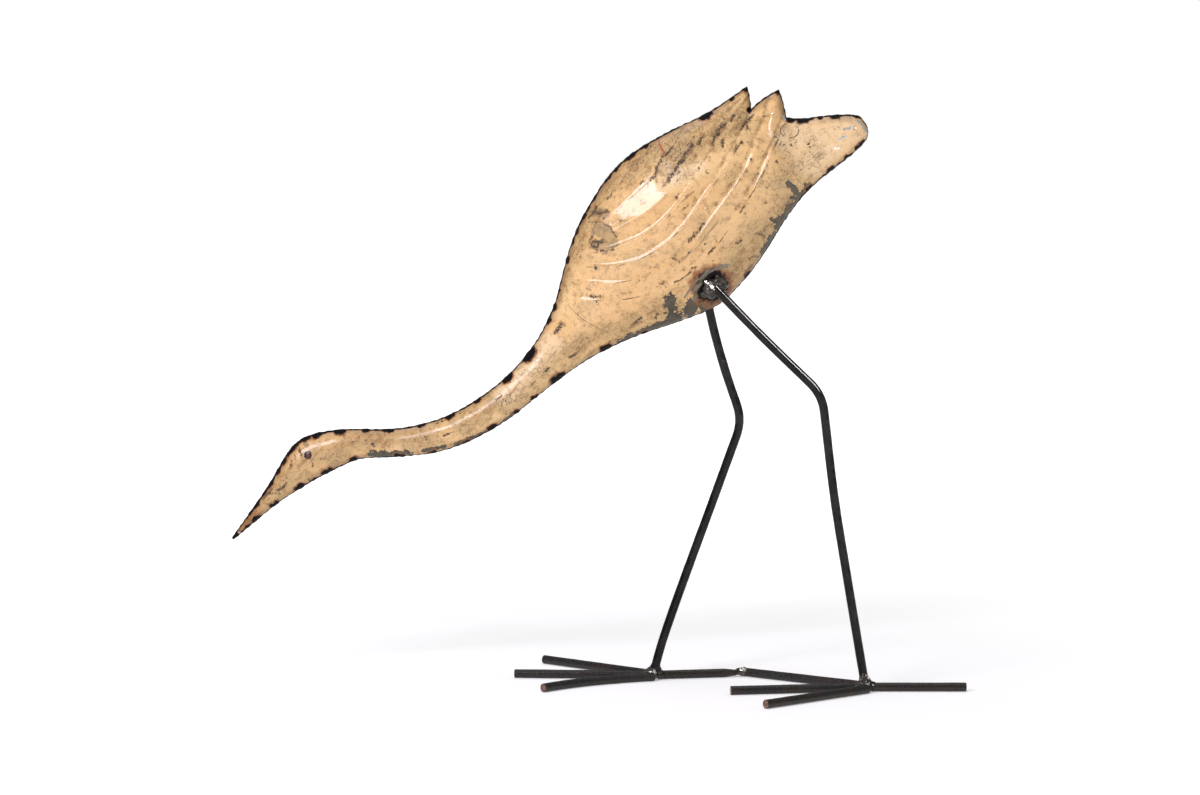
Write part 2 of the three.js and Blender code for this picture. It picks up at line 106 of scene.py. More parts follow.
FRONT_KNOTS = 3.3
FRONT_REACH = 0.5
TIPS_REACH = 0.55
TIP_SHARE = 0.20
NOTCH_SHARE = 0.42
SHIFT_X = 1.5

TOP = np.vstack([NECK_TOP, BACK[1:]])
LOW = np.vstack([NECK_LOW, WING_LOW[1:], TAIL_LOW[1:]])
FORK = len(NECK_TOP) - 1
print("rim:", len(TOP) + len(LOW) + len(TAIL_TOP), "knots")


# %% Curves through the knots
FINE_STEPS = 40


def spline(knots, s):
    """A smooth curve through all knots. Between two of them it is the cubic that passes through both and
    whose slope at each knot is half the step between that knot's neighbours."""
    ends = np.vstack([2 * knots[0] - knots[1], knots, 2 * knots[-1] - knots[-2]])
    s = np.asarray(s, float)
    i = np.clip(np.floor(s).astype(int), 0, len(knots) - 2)
    f = (s - i)[..., None]
    a, b, c, d = ends[i], ends[i + 1], ends[i + 2], ends[i + 3]
    square, cube = 2 * a - 5 * b + 4 * c - d, 3 * b - a - 3 * c + d
    return 0.5 * (2 * b + (c - a) * f + square * f**2 + cube * f**3)


def even_walk(knots, u, first=0.0, last=None):
    """The same curve between two knot numbers, with u from 0 to 1 as the share of its length."""
    last = len(knots) - 1 if last is None else last
    s = np.linspace(first, last, FINE_STEPS * len(knots) + 1)
    steps = np.linalg.norm(np.diff(spline(knots, s), axis=0), axis=1)
    length = np.concatenate([[0.0], np.cumsum(steps)])
    return spline(knots, np.interp(np.asarray(u, float) * length[-1], length, s))


def even_line(line, step):
    """Points at even steps along a line, with both ends kept."""
    length = np.concatenate([[0.0], np.cumsum(np.linalg.norm(np.diff(line, axis=0), axis=1))])
    at = np.linspace(0, length[-1], int(length[-1] / step) + 1)
    return np.column_stack([np.interp(at, length, column) for column in line.T]), at


def smooth(f):
    """Three f squared less two f cubed, with f held between 0 and 1."""
    f = np.clip(f, 0, 1)
    return f * f * (3 - 2 * f)


def bunched(f):
    """Draws even steps together at both ends: half of one less the cosine of f half turns."""
    return (1 - np.cos(np.pi * f)) / 2


neck = spline(TOP, 8.0) - spline(LOW, 8.0)
print("neck is", round(float(np.linalg.norm(neck)), 1), "mm deep at its middle")


# %% [markdown]
# The wing lies between the outermost feather edge and the back. To fill such a frame of four curves, a
# patch blends two opposite sides straight across, then adds what the other two sides, here the front
# of the breast and the zigzag of the feather tips, depart from their own chords.

# %% The wing's patch
def bowed(p, q, f, bow):
    """The straight edge from p to q, pushed sideways by a parabola that is highest half way."""
    step = q - p
    sideways = np.array([step[1], -step[0]]) / np.linalg.norm(step)
    return p + step * f[..., None] + sideways * (4 * bow * f * (1 - f))[..., None]


def zigzag(w):
    """The rim at the feather tips: three slightly bowed edges, end to end, at shares w of the way."""
    w = np.asarray(w, float)
    ends = [OUTER_FEATHER[-1], SECOND_TIP, FIRST_NOTCH, TOP[-1]]
    at = [0, TIP_SHARE, NOTCH_SHARE, 1]
    shares = [np.clip((w - at[k]) / (at[k + 1] - at[k]), 0, 1) for k in range(3)]
    first, middle, last = (bowed(ends[k], ends[k + 1], shares[k], TIP_BOWS[k]) for k in range(3))
    w = w[..., None]
    return np.where(w < TIP_SHARE, first, np.where(w < NOTCH_SHARE, middle, last))


def wing_point(u, w):
    """Outer feather and back mixed by w, plus what the front rim and the tips depart from their chords,
    each fading with the cube of the distance from its own end."""
    u, w = np.broadcast_arrays(np.asarray(u, float), np.asarray(w, float))
    across = w[..., None]
    outer = even_walk(OUTER_FEATHER, u)
    back = even_walk(TOP, u, FORK + FRONT_KNOTS, len(TOP) - 1)
    front_chord = TOP[FORK] + (spline(TOP, FORK + FRONT_KNOTS) - TOP[FORK]) * across
    tip_chord = OUTER_FEATHER[-1] + (TOP[-1] - OUTER_FEATHER[-1]) * across
    near_front = np.clip(1 - u / FRONT_REACH, 0, 1)[..., None] ** 3
    near_tips = np.clip(1 - (1 - u) / TIPS_REACH, 0, 1)[..., None] ** 3
    front = even_walk(TOP, w, FORK, FORK + FRONT_KNOTS)
    straight = outer + (back - outer) * across
    return straight + (front - front_chord) * near_front + (zigzag(w) - tip_chord) * near_tips


def rim_line(per_knot):
    """The whole rim as one line that ends where it starts: along the lower side from the beak's tip,
    round the tail, over the feather tips and back along the upper side."""
    def whole(knots):
        return spline(knots, np.linspace(0, len(knots) - 1, per_knot * (len(knots) - 1) + 1))

    corners = [0, TIP_SHARE, NOTCH_SHARE, 1]
    shares = np.concatenate([np.linspace(a, b, per_knot + 1)[1:] for a, b in zip(corners, corners[1:])])
    return np.vstack([whole(LOW)[:-1], whole(TAIL_TOP)[::-1], zigzag(shares), whole(TOP)[::-1][1:]])


RIM_COARSE, RIM_FINE = 6, 24
RIM = rim_line(RIM_COARSE)
print("rim length", round(float(np.linalg.norm(np.diff(RIM, axis=0), axis=1).sum())), "mm")


# %% [markdown]
# How thick is the body at each place? A hammered half swells like a cushion: steep at the rim, then
# ever flatter. The root of the distance to the rim does that, but the nearest distance has a crease
# along the middle. A mean over the whole rim, in which near parts count most, has none.

# %% Thickness of a half
SLIM = 3.45
SWELL = 2.1
SWELL_CENTRE = np.array([60.0, 405.0])
SWELL_REACH = 80.0
CHUNK = 20000
LEAST_OFF = 1e-4


def in_chunks(function, points):
    """Applies a function to many points, a part at a time, so that the tables stay small."""
    parts = [function(points[k:k + CHUNK]) for k in range(0, len(points), CHUNK)]
    return np.concatenate(parts)


def mean_distance(points):
    """Each straight piece of the rim adds the integral of one over the distance cubed. The root of two
    over their sum is the mean distance."""
    start, step = RIM[None, :-1], np.diff(RIM, axis=0)[None]
    length = np.linalg.norm(step, axis=2)

    def part(p):
        away = p[:, None] - start
        along = (away * step).sum(2) / length
        off = np.abs(away[..., 0] * step[..., 1] - away[..., 1] * step[..., 0]) / length
        off = np.maximum(off, LEAST_OFF)
        ahead = length - along
        return ((ahead / np.hypot(off, ahead) + along / np.hypot(off, along)) / off**2).sum(1)
    return np.sqrt(2 / in_chunks(part, points))


def plain_height(points):
    """The root of the mean distance, times a factor that grows towards the body's middle as a bell."""
    far = np.linalg.norm(points - SWELL_CENTRE, axis=1) / SWELL_REACH
    return (SLIM + SWELL * np.exp(-far**2 / 2)) * np.sqrt(mean_distance(points))


middle_height = float(plain_height(SWELL_CENTRE[None])[0])
print("half thickness at the body's middle", round(middle_height, 1), "mm")


# %% [markdown]
# The feathers are pressed into the sheet as a saw-tooth: from each feather's edge the metal drops in a
# short steep flank towards the back, then rises gently to the next edge. The first table gives where
# the edges run, as shares of the way from the outer feather to the back, at even steps along the wing.
# The second gives how high they stand there, in millimetres. They are low under the back's bulge.

# %% Feather relief
FEATHERS = np.array([
    (0, 0, 0, 0, 0, 0),
    (0.17, 0.14, 0.14, 0.20, 0.19, 0.20),
    (0.34, 0.27, 0.30, 0.38, 0.42, 0.42),
    (0.44, 0.41, 0.45, 0.56, 0.70, 0.74),
    (0.56, 0.56, 0.59, 0.70, 0.83, 0.86),
    (0.62, 0.70, 0.81, 0.90, 0.94, 0.94),
    (1, 1, 1, 1, 1, 1)])
EDGE_HEIGHTS = np.array([
    (1.0, 1.1, 1.2, 1.5, 1.7, 1.2),
    (1.2, 1.4, 1.6, 1.9, 1.6, 0.9),
    (1.2, 1.4, 1.7, 1.7, 1.2, 0.5),
    (1.0, 1.2, 1.5, 1.3, 0.8, 0.3),
    (0.7, 0.8, 0.8, 0.7, 0.5, 0.2),
    (0.5, 0.6, 0.7, 0.6, 0.4, 0.2),
    (0, 0, 0, 0, 0, 0)])
CREST_SHARE = 0.45
FLANK_SHARE = 0.26
FLANK_EASE = 1.5
CROWN = 1.2
EDGE_START = 0.03
EDGE_GROWTH = 0.10
BELLY_FADE = 24.0
SETTLE = 7.0


def table_row(table, number, u):
    """A smooth curve through one row of a table whose columns are even steps along the wing."""
    row = table[number]
    return spline(row[:, None], u * (len(row) - 1))[..., 0]


def edge_height(number, u):
    """How high a feather's edge stands: its row of the table, growing in behind the front rim."""
    return np.maximum(table_row(EDGE_HEIGHTS, number, u), 0) * smooth((u - EDGE_START) / EDGE_GROWTH)


def feather_share(number, u):
    """Where a feather's edge runs, as a share of the way across the wing."""
    return table_row(FEATHERS, number, u)


def feather_relief(band, f, u):
    """Saw-tooth: from the crest down to the groove over the flank, steepest at the crest, then up to the
    next crest with a power of the share of the way."""
    inner, outer = edge_height(band, u), edge_height(band + 1, u)
    crest, groove = inner * CREST_SHARE, inner * (CREST_SHARE - 1)
    drop = 1 - (1 - np.clip(f / FLANK_SHARE, 0, 1)) ** FLANK_EASE
    rise = np.clip((f - FLANK_SHARE) / (1 - FLANK_SHARE), 0, 1) ** CROWN
    down, up = crest + (groove - crest) * drop, groove + (outer * CREST_SHARE - groove) * rise
    return np.where(f < FLANK_SHARE, down, up)


print("feather edges:", len(FEATHERS) - 1)

# %% [markdown]
# Sheet that was beaten over a form is never quite even, and its gloss shows every dent. A few dozen
# long waves with directions and phases drawn once from a seeded generator add up to such a surface.
# Short waves of the same kind shift the places of the marks, so that none has a ruled outline.

# %% Hammer marks
WAVES = 26
DENT_LENGTHS = (20.0, 60.0)
DENT_DEPTH = 0.13
SHIFT_LENGTHS = (4.0, 13.0)
SHIFT_SIZE = 0.45


def waves(points, seed, lengths):
    """A sum of sine waves of random direction, length and phase, with a usual size of one."""
    draw = np.random.default_rng(seed)
    angle = draw.uniform(0, np.pi, WAVES)
    pitch = draw.uniform(*lengths, WAVES)
    phase = draw.uniform(0, 2 * np.pi, WAVES)
    steps = 2 * np.pi / pitch * np.array([np.cos(angle), np.sin(angle)])
    return np.sin(points @ steps + phase).sum(1) / math.sqrt(WAVES / 2)


def shifted(points, seed):
    """The points, each moved a little by waves of its own in both directions."""
    moves = [waves(points, seed + k, SHIFT_LENGTHS) for k in (1, 2)]
    return points + SHIFT_SIZE * np.column_stack(moves)


print("dents are", DENT_DEPTH, "mm deep")

# %% [markdown]
# A surface that is a function of two parameters is a grid of points. These helpers turn grids into
# triangles, weld the points that two grids share, and put everything into a mesh in one go. Numpy
# handles whole arrays, so even a hundred thousand points take no time.

# %% Mesh helpers
WELD_DIGITS = 4


def grid_triangles(rows, columns, first=0, closed=False, ring=False):
    """Two triangles for each cell of a grid of numbered points. A closed grid joins its last column to
    its first, and a ring also joins its last row to its first."""
    number = first + np.arange(rows * columns).reshape(rows, columns)
    if ring:
        number = np.vstack([number, number[:1]])
    if closed:
        number = np.hstack([number, number[:, :1]])
    a, b, c, d = number[:-1, :-1], number[1:, :-1], number[1:, 1:], number[:-1, 1:]
    return np.stack([a, b, c, a, c, d], axis=-1).reshape(-1, 3)


def weld_points(points, triangles, attributes):
    """Gives points at the same place one number, and drops the triangles that this leaves without area.
    The last result is the new number of every old point."""
    places = np.round(points, WELD_DIGITS)
    _, kept, number = np.unique(places, axis=0, return_index=True, return_inverse=True)
    number = number.reshape(-1)
    triangles = number[triangles]
    whole = (triangles != np.roll(triangles, 1, axis=1)).all(1)
    attributes = {name: values[kept] for name, values in attributes.items()}
    return points[kept], triangles[whole], attributes, number


# %% [markdown]
# Points and triangles then become a mesh, with a number for each kind of mark on every point. All faces
# are smooth, and a half's rim is kept sharp where its flat back starts.

# %% Meshes and pieces
def make_mesh(name, points, triangles, attributes=None, back=None):
    """Fills a mesh with points in millimetres, triangles and point attributes. back is an outline that
    closes the mesh with one flat face."""
    loops = triangles.reshape(-1)
    starts = np.arange(0, len(loops), 3)
    if back is not None:
        starts = np.append(starts, len(loops))
        loops = np.concatenate([loops, back])
    mesh = bpy.data.meshes.new(name)
    mesh.vertices.add(len(points))
    mesh.vertices.foreach_set("co", ((points + (SHIFT_X, 0, 0)) * MM).astype(np.float32).ravel())
    mesh.loops.add(len(loops))
    mesh.loops.foreach_set("vertex_index", loops.astype(np.int32))
    mesh.polygons.add(len(starts))
    mesh.polygons.foreach_set("loop_start", starts.astype(np.int32))
    mesh.update(calc_edges=True)
    mesh.polygons.foreach_set("use_smooth", np.ones(len(starts), bool))
    for key, values in (attributes or {}).items():
        mesh.attributes.new(key, "FLOAT", "POINT").data.foreach_set("value", values.astype(np.float32))
    if back is not None:
        ends = np.zeros(2 * len(mesh.edges), np.int32)
        mesh.edges.foreach_get("vertices", ends)
        on_rim = np.isin(ends.reshape(-1, 2), back).all(1)
        mesh.attributes.new("sharp_edge", "BOOLEAN", "EDGE").data.foreach_set("value", on_rim)
    mesh.validate()
    return mesh


def place(name, mesh, material, slot, replaced):
    """Links a piece at the origin, gives it its finish, and ties it to the frame."""
    piece = bpy.data.objects.new(name, mesh)
    bpy.context.scene.collection.objects.link(piece)
    mesh.materials.append(material)
    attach(piece, "root")
    if replaced:
        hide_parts(*replaced)
    print(name, "has", len(mesh.polygons), "faces")


# %% [markdown]
# The finish needs to know where things are: where a torch has burnt the enamel, where it has flaked
# off, where dirt sits. Each mark is a short line, written as a row of millimetres: its reach, then x
# and z of every point. A single point makes a round spot. Every kind of mark becomes one soft field
# over the surface, which is stored on the points. The material breaks it up with noise.

# %% Fields round lines
RIM_STEP = 0.5
SPOT_DEPTH = 0.85
SPOT_HALF_LENGTH = 0.5


def distance_to_line(points, line):
    """Distance to the nearest point of an open line, or of its only point."""
    line = np.array(line, float).reshape(-1, 2)
    if len(line) == 1:
        return np.linalg.norm(points - line[0], axis=1)
    start, step = line[None, :-1], np.diff(line, axis=0)[None]
    away = points[:, None] - start
    share = np.clip((away * step).sum(2) / (step**2).sum(2), 0, 1)
    return np.linalg.norm(away - step * share[..., None], axis=2).min(1)


def field(points, marks):
    """One on each line, a half at its reach, nought at twice its reach, and the largest where several
    marks meet."""
    value = np.zeros(len(points))
    for reach, *line in marks:
        value = np.maximum(value, 1 - distance_to_line(points, line) / (2 * reach))
    return value


def rim_stretch(knots, x, reach, long):
    """A mark along a rim curve, so long to each side of the place with that x, as the way runs."""
    curve = spline(knots, np.linspace(0, len(knots) - 1, FINE_STEPS * len(knots)))
    line, at = even_line(curve, RIM_STEP)
    middle = at[np.abs(line[:, 0] - x).argmin()]
    steps = np.clip(middle + long * np.linspace(-1, 1, 5), 0, at[-1])
    return (reach, *np.column_stack([np.interp(steps, at, column) for column in line.T]).ravel())


def rim_spots(knots, spots, shift=0.0, share=1.0):
    """Turns (x, reach) pairs, if wished moved and made smaller, into marks on a rim curve."""
    sizes = [(x + shift, reach * share) for x, reach in spots]
    return [rim_stretch(knots, x, reach * SPOT_DEPTH, reach * SPOT_HALF_LENGTH) for x, reach in sizes]


# %% Tack welds and burns
TOP_TACKS = (
    (-317, 2.2), (-311, 2.6), (-303, 2.4), (-298, 2.6), (-291, 3.0), (-286, 3.0), (-281, 3.0),
    (-276, 3.0), (-265, 3.0), (-255, 3.4), (-234, 3.9), (-211, 2.4), (-195, 2.2), (-189, 2.4),
    (-161, 2.4), (-135, 3.2), (-111, 2.6), (-84, 3.9), (-65, 5.4), (-47, 2.4), (-42, 2.6),
    (-30, 2.2), (-15, 2.4), (2, 1.6), (27, 3.0), (41, 2.2), (93, 4.0), (117, 2.2))
LOW_TACKS = (
    (-317, 2.2), (-309, 3.4), (-293, 3.6), (-270, 3.9), (-245, 4.0), (-222, 3.2), (-180, 3.0),
    (-151, 2.8), (-120, 2.8), (-96, 3.6), (-74, 2.8), (-58, 2.6), (-37, 5.2), (6, 4.2), (40, 2.2),
    (133, 3.0), (188, 2.8), (206, 3.0), (221, 2.2))
TAIL_TACKS = ((171, 3.0), (181, 3.8), (196, 1.8), (209, 3.0), (228, 1.8))
RIGHT_SHIFT, RIGHT_SHARE = 7.0, 0.9

TACKS = rim_spots(TOP, TOP_TACKS) + rim_spots(LOW, LOW_TACKS) + rim_spots(TAIL_TOP, TAIL_TACKS)
RIM_BURNS = [rim_stretch(*values) for values in (
    (TOP, -300, 1.3, 34), (TOP, -254, 1.0, 18), (TOP, 2, 0.8, 60), (TOP, -42, 1.0, 16),
    (LOW, -316, 1.1, 14), (LOW, -240, 0.9, 30), (LOW, 195, 1.0, 40),
    (TAIL_TOP, 178, 1.5, 12), (TAIL_TOP, 216, 0.7, 16))]
HIP = (99.5, 364.0)
TIP_BURNS = [(2.2, -331, 134, -328, 138), (4.2, 130, 541), (3.8, 158, 539),
             (2.6, 231, 486, 235, 490), (1.8, 133, 520)]
print("tack welds:", len(TACKS))

# %% [markdown]
# The left side has the marks that the photo shows. The right side isn't seen there, so it has marks
# of the same kinds at places of its own, and fewer of them. A burn is a torch's mark, bare is steel
# where enamel has flaked off, and dirt is grime in the enamel. A stain is a cluster of dark crumbs, a
# line a hairline scratch, film a skin of old lacquer, and ground the path of a grinder's disc. Warm is
# enamel browned by heat, and red is a scratch of red paint. Pale is lighter enamel, and on the tail it
# is painted sheen. Bright is metal polished by use, and at the tail's end, the feather tips and the
# beak's tip it also stands for painted glints. The eye is a brown bead.

# %% Marks on the left side
LEFT_MARKS = {
    "burn": TACKS + RIM_BURNS + TIP_BURNS + [(12.0, *HIP)],
    "bare": [
        (4.2, 62, 353, 64, 344, 63, 338, 70, 336), (4.6, 80, 345, 85, 348, 80, 339),
        (3.4, 91, 344, 100, 344, 109, 349), (3.6, 70, 336, 56, 328, 44, 323, 30, 317, 18, 312),
        (2.2, 167, 456, 172, 452, 176, 446, 183, 446), (3.8, 184, 446, 178, 439, 171, 432),
        (3.0, 169, 429, 163, 424, 158, 417), (2.2, 156, 410, 150, 401, 145, 392),
        (1.4, 182, 455, 186, 451), (1.6, 171, 443, 176, 440), (1.3, 152, 424, 158, 420),
        (3.0, -205, 212, -190, 211, -172, 212), (1.6, -158, 215, -140, 218.5),
        (1.6, -130, 221, -112, 227, -99, 232.5), (1.6, -88, 240, -76, 248),
        (1.9, -260, 186.5, -253, 190, -243, 195)],
    "dirt": [
        (12, -30, 388, -4, 440, 30, 472, 72, 500), (17, 118, 372, 146, 404, 166, 434),
        (9, -330, 140, -300, 172), (10, -120, 236, -60, 284, -14, 318, 40, 334),
        (7, -300, 176, -262, 196), (11, 66, 470, 86, 486, 106, 506), (9, -42, 352, -20, 402),
        (12, 20, 326, 66, 350), (13, -290, 184, -262, 206, -232, 214), (9, -214, 222, -160, 226),
        (11, 162, 492, 172, 470, 196, 480), (8, 58, 474, 74, 484), (6, 108, 512, 104, 500),
        (5, 118, 500, 126, 514)],
    "stain": [
        (1.9, 134, 515, 129, 508, 131, 504), (1.5, 129, 510, 126, 503), (1.9, 136, 516),
        (1.7, 146, 515), (1.6, 135, 477, 134, 475), (1.8, 130, 466), (1.5, 126, 493, 119, 484),
        (2.8, 111, 510, 108, 505, 102, 497, 100, 491), (1.6, 117, 511, 119, 516),
        (2.2, 91, 497, 88, 491), (1.5, 108, 495, 109, 488), (2.6, 82, 489, 75, 480, 72, 475, 67, 468),
        (1.8, 67, 468, 60, 458), (1.6, 84, 480), (1.6, 55, 477, 51, 471, 49, 461, 44, 459),
        (1.8, 66, 467, 61, 457), (1.3, 39, 458, 36, 456), (1.8, 63, 486, 55, 479),
        (2.4, -6, 399, -2, 401, 3, 404, -8, 403), (2.0, -8, 430, -1, 429, 7, 431),
        (1.5, -3, 434, -10, 424), (1.6, -14, 423, -19, 416), (1.1, 6, 441, 14, 449),
        (1.4, 78, 437, 74, 433), (1.7, 92, 421, 84, 410, 79, 405), (1.3, 101, 399, 96, 393),
        (1.1, 126, 406, 120, 402), (1.2, 139, 411, 147, 408), (1.0, 147, 439), (1.6, 154, 424),
        (1.5, 133, 389, 141, 390), (1.7, 131, 375, 136, 382), (2.0, 52, 340, 49, 336),
        (1.5, -8, 355, -1, 356), (0.9, -13, 363, -8, 360), (2.0, 30, 330, 36, 336),
        (1.2, -289, 180, -285, 182, -281, 187), (1.0, -282, 190, -280, 193), (1.1, -277, 188),
        (1.0, -297, 177, -288, 176), (1.0, -279, 199, -278, 206), (1.1, -272, 207, -275, 212),
        (0.9, -258, 204, -258, 201), (1.6, -302, 172, -296, 180), (1.2, -268, 210, -270, 217),
        (1.2, -92, 262, -88, 266), (1.2, -140, 229, -132, 232), (1.2, -63, 272, -59, 276),
        (1.0, -50, 286, -46, 291), (1.4, -28, 300, -20, 304), (2.0, -40, 322, -33, 330),
        (1.2, 85, 383, 78, 376), (0.9, 66, 368, 74, 372), (0.9, 59, 364, 52, 369),
        (1.0, 64, 391, 70, 386), (0.9, 52, 397), (0.8, 167, 473), (0.9, 170, 507)],
    "line": [
        (0.7, 42, 455, 49, 463), (0.8, -11, 421, 1, 421, 9, 417),
        (0.8, -8, 417, -5, 411, -9, 405, -6, 397, 3, 396, 12, 397), (0.7, 9, 417, 16, 406),
        (0.6, 65, 474, 84, 497), (0.5, 60, 480, 75, 505), (0.5, 72, 482, 70, 492),
        (0.7, 158, 494, 155, 488), (0.7, 150, 476, 148, 471), (0.8, 146, 467, 143, 461),
        (0.7, 141, 458, 139, 455), (0.7, 137, 450, 132, 443), (0.7, 128, 436, 124, 429)],
    "film": [
        (4.6, -2, 400, 6, 402, 10, 405, 6, 411, -3, 414), (3.0, -7, 429, 2, 430, 6, 428),
        (2.4, -243, 200, -236, 204), (1.7, -264, 220, -266, 225), (1.4, 82, 348, 80, 340)],
    "ground": [
        (1.7, 113, 382, 107, 382, 102, 380, 96, 377, 90, 370, 87, 365, 85, 360, 84, 352),
        (0.8, 75, 353, 79, 360, 82, 365, 87, 371)],
    "warm": [
        (7, -331, 134, -312, 154), (3.6, 114, 374, 116, 362, 104, 352), (2.6, 82, 367, 86, 376),
        (2.6, 88, 348, 100, 349), (1.8, 101, 384, 107, 383)],
    # Lighter enamel; the two marks on the tail are painted sheen.
    "pale_and_sheen": [
        (16, 180, 494, 222, 504), (10, 190, 474, 206, 486), (9, -84, 270, -44, 312),
        (6, 46, 450, 90, 470)],
    "red": [(0.8, 52, 495, 53, 490, 56, 484, 57, 481)],
    # Polished metal, which also stands for painted glints at the tail's end, the tips and the beak.
    "bright_and_glint": [
        (1.3, 218, 503.5, 224, 506), (0.9, 228, 511, 234, 507, 237, 501), (0.8, 212, 494, 219, 497),
        (0.7, 208, 485, 213, 487), (0.9, -325, 140), (1.0, 153, 517), (1.1, 162, 515, 165, 512)],
    "eye": [(3.5, -262.3, 211.6)],
}
EYE = LEFT_MARKS["eye"][0][1:]

# %% Marks on the right side
RIGHT_MARKS = {
    "burn": rim_spots(TOP, TOP_TACKS[:-2], RIGHT_SHIFT, RIGHT_SHARE)
    + rim_spots(LOW, LOW_TACKS, RIGHT_SHIFT, RIGHT_SHARE)
    + RIM_BURNS + TIP_BURNS + [(11.5, 94.5, 361.5)],
    "bare": [
        (3.2, 60, 341, 80, 346), (2.8, 110, 352, 120, 362), (2.8, 158, 430, 166, 444),
        (2.0, -180, 212, -150, 216), (2.2, 10, 311, 30, 319), (3.4, 222, 508)],
    "dirt": [
        (12, -26, 394, 0, 444, 60, 492, 112, 526), (14, 124, 378, 160, 430),
        (10, -120, 236, -40, 302, 30, 330), (9, -330, 140, -300, 172)],
    "stain": [
        (2.2, 118, 517, 112, 508), (2.0, 96, 480, 90, 474), (2.2, 60, 464, 54, 458), (1.8, 130, 458),
        (1.8, 14, 396), (1.4, -280, 196, -274, 201), (1.6, 36, 338)],
    "line": [(0.7, -10, 330, 14, 321), (0.8, 20, 450, 44, 470), (0.7, 90, 420, 104, 432)],
    "film": [(3.4, 0, 406, 10, 410), (1.8, -40, 288, -34, 293)],
    "ground": [(1.7, 80, 366, 88, 376, 104, 378)],
    "warm": [(7, -331, 134, -312, 154), (3.6, 108, 372, 110, 360), (2.6, 80, 358, 84, 370)],
    # Lighter enamel; the mark on the tail is painted sheen.
    "pale_and_sheen": [(13, 184, 498, 222, 504), (13, -110, 246, -36, 326), (12, 60, 440, 90, 460)],
    "red": [],
    # Polished metal, which also stands for painted glints at the tail's end and the beak.
    "bright_and_glint": [(1.6, 219, 502), (1.1, -326, 139, -323, 143)],
    "eye": LEFT_MARKS["eye"],
}
print("marks:", {kind: (len(marks), len(RIGHT_MARKS[kind])) for kind, marks in LEFT_MARKS.items()})

# %% [markdown]
# The body half is two grids. One runs from the beak to the tail, with columns from the lower rim up to
# the upper rim or, along the wing, up to the outermost feather. The other covers the wing, with rows
# that lie close together on the steep flanks. They share the line of the outer feather, and where a
# grid ends on the rim it bunches up, because there the sheet turns steeply.

# %% The belly's grid
NECK_COLUMNS = 250
WING_COLUMNS = 250
TAIL_COLUMNS = 90
BELLY_ROWS = 84
FLANK_ROWS = 8
SLOPE_ROWS = 14
NECK_EASE = 1.15
BUNCHING = 0.7
HALF_GAP = 0.15
FULL_EDGE = 1.1
CREST_WEAR = (0.9, 0.5)
BROWN_GROOVE_EDGE = 0.35
GROOVE_BROWN_REACH = 2.6
GROOVE_BROWN_MIDDLE = 1.2
FRONT_GROOVE_BROWN = 0.3
TAIL_START = FORK + len(WING_LOW) - 1
wing_steps = np.arange(WING_COLUMNS + 1) / WING_COLUMNS
WING_US = (wing_steps + bunched(wing_steps)) / 2


def belly_grid():
    """Columns of points between the lower and the upper line, bunched at both ends, and along the wing
    the outer feather's crest: a square of the nearness to it."""
    neck = FORK * (np.arange(NECK_COLUMNS) / NECK_COLUMNS) ** NECK_EASE
    tail = (len(TAIL_TOP) - 1) * np.sin(np.pi / 2 * np.arange(1, TAIL_COLUMNS + 1) / TAIL_COLUMNS)
    belly_low = even_walk(LOW, WING_US, FORK, TAIL_START)
    low = np.vstack([spline(LOW, neck), belly_low, spline(LOW, TAIL_START + tail)])
    top = np.vstack([spline(TOP, neck), even_walk(OUTER_FEATHER, WING_US), spline(TAIL_TOP, tail)])
    crest = np.concatenate([0 * neck, edge_height(0, WING_US), 0 * tail])[:, None]
    on_wing = np.zeros(len(low), bool)
    on_wing[NECK_COLUMNS + 1:NECK_COLUMNS + WING_COLUMNS] = True
    even = np.arange(BELLY_ROWS + 1) / BELLY_ROWS
    f = (even + BUNCHING * (bunched(even) - even))[None]
    points = low[:, None] + (top - low)[:, None] * f[..., None]
    below = (1 - f) * np.linalg.norm(top - low, axis=1)[:, None]
    relief = crest * CREST_SHARE * np.maximum(1 - below / BELLY_FADE, 0) ** 2
    rim = np.zeros(points.shape[:2], bool)
    rim[:, 0] = True
    rim[:, -1] = ~on_wing
    rim[[0, -1]] = True
    worn = np.minimum(crest / FULL_EDGE, 1) * np.exp(-(below / CREST_WEAR[0]) ** 2)
    return points, relief, rim, worn, np.zeros(relief.shape)


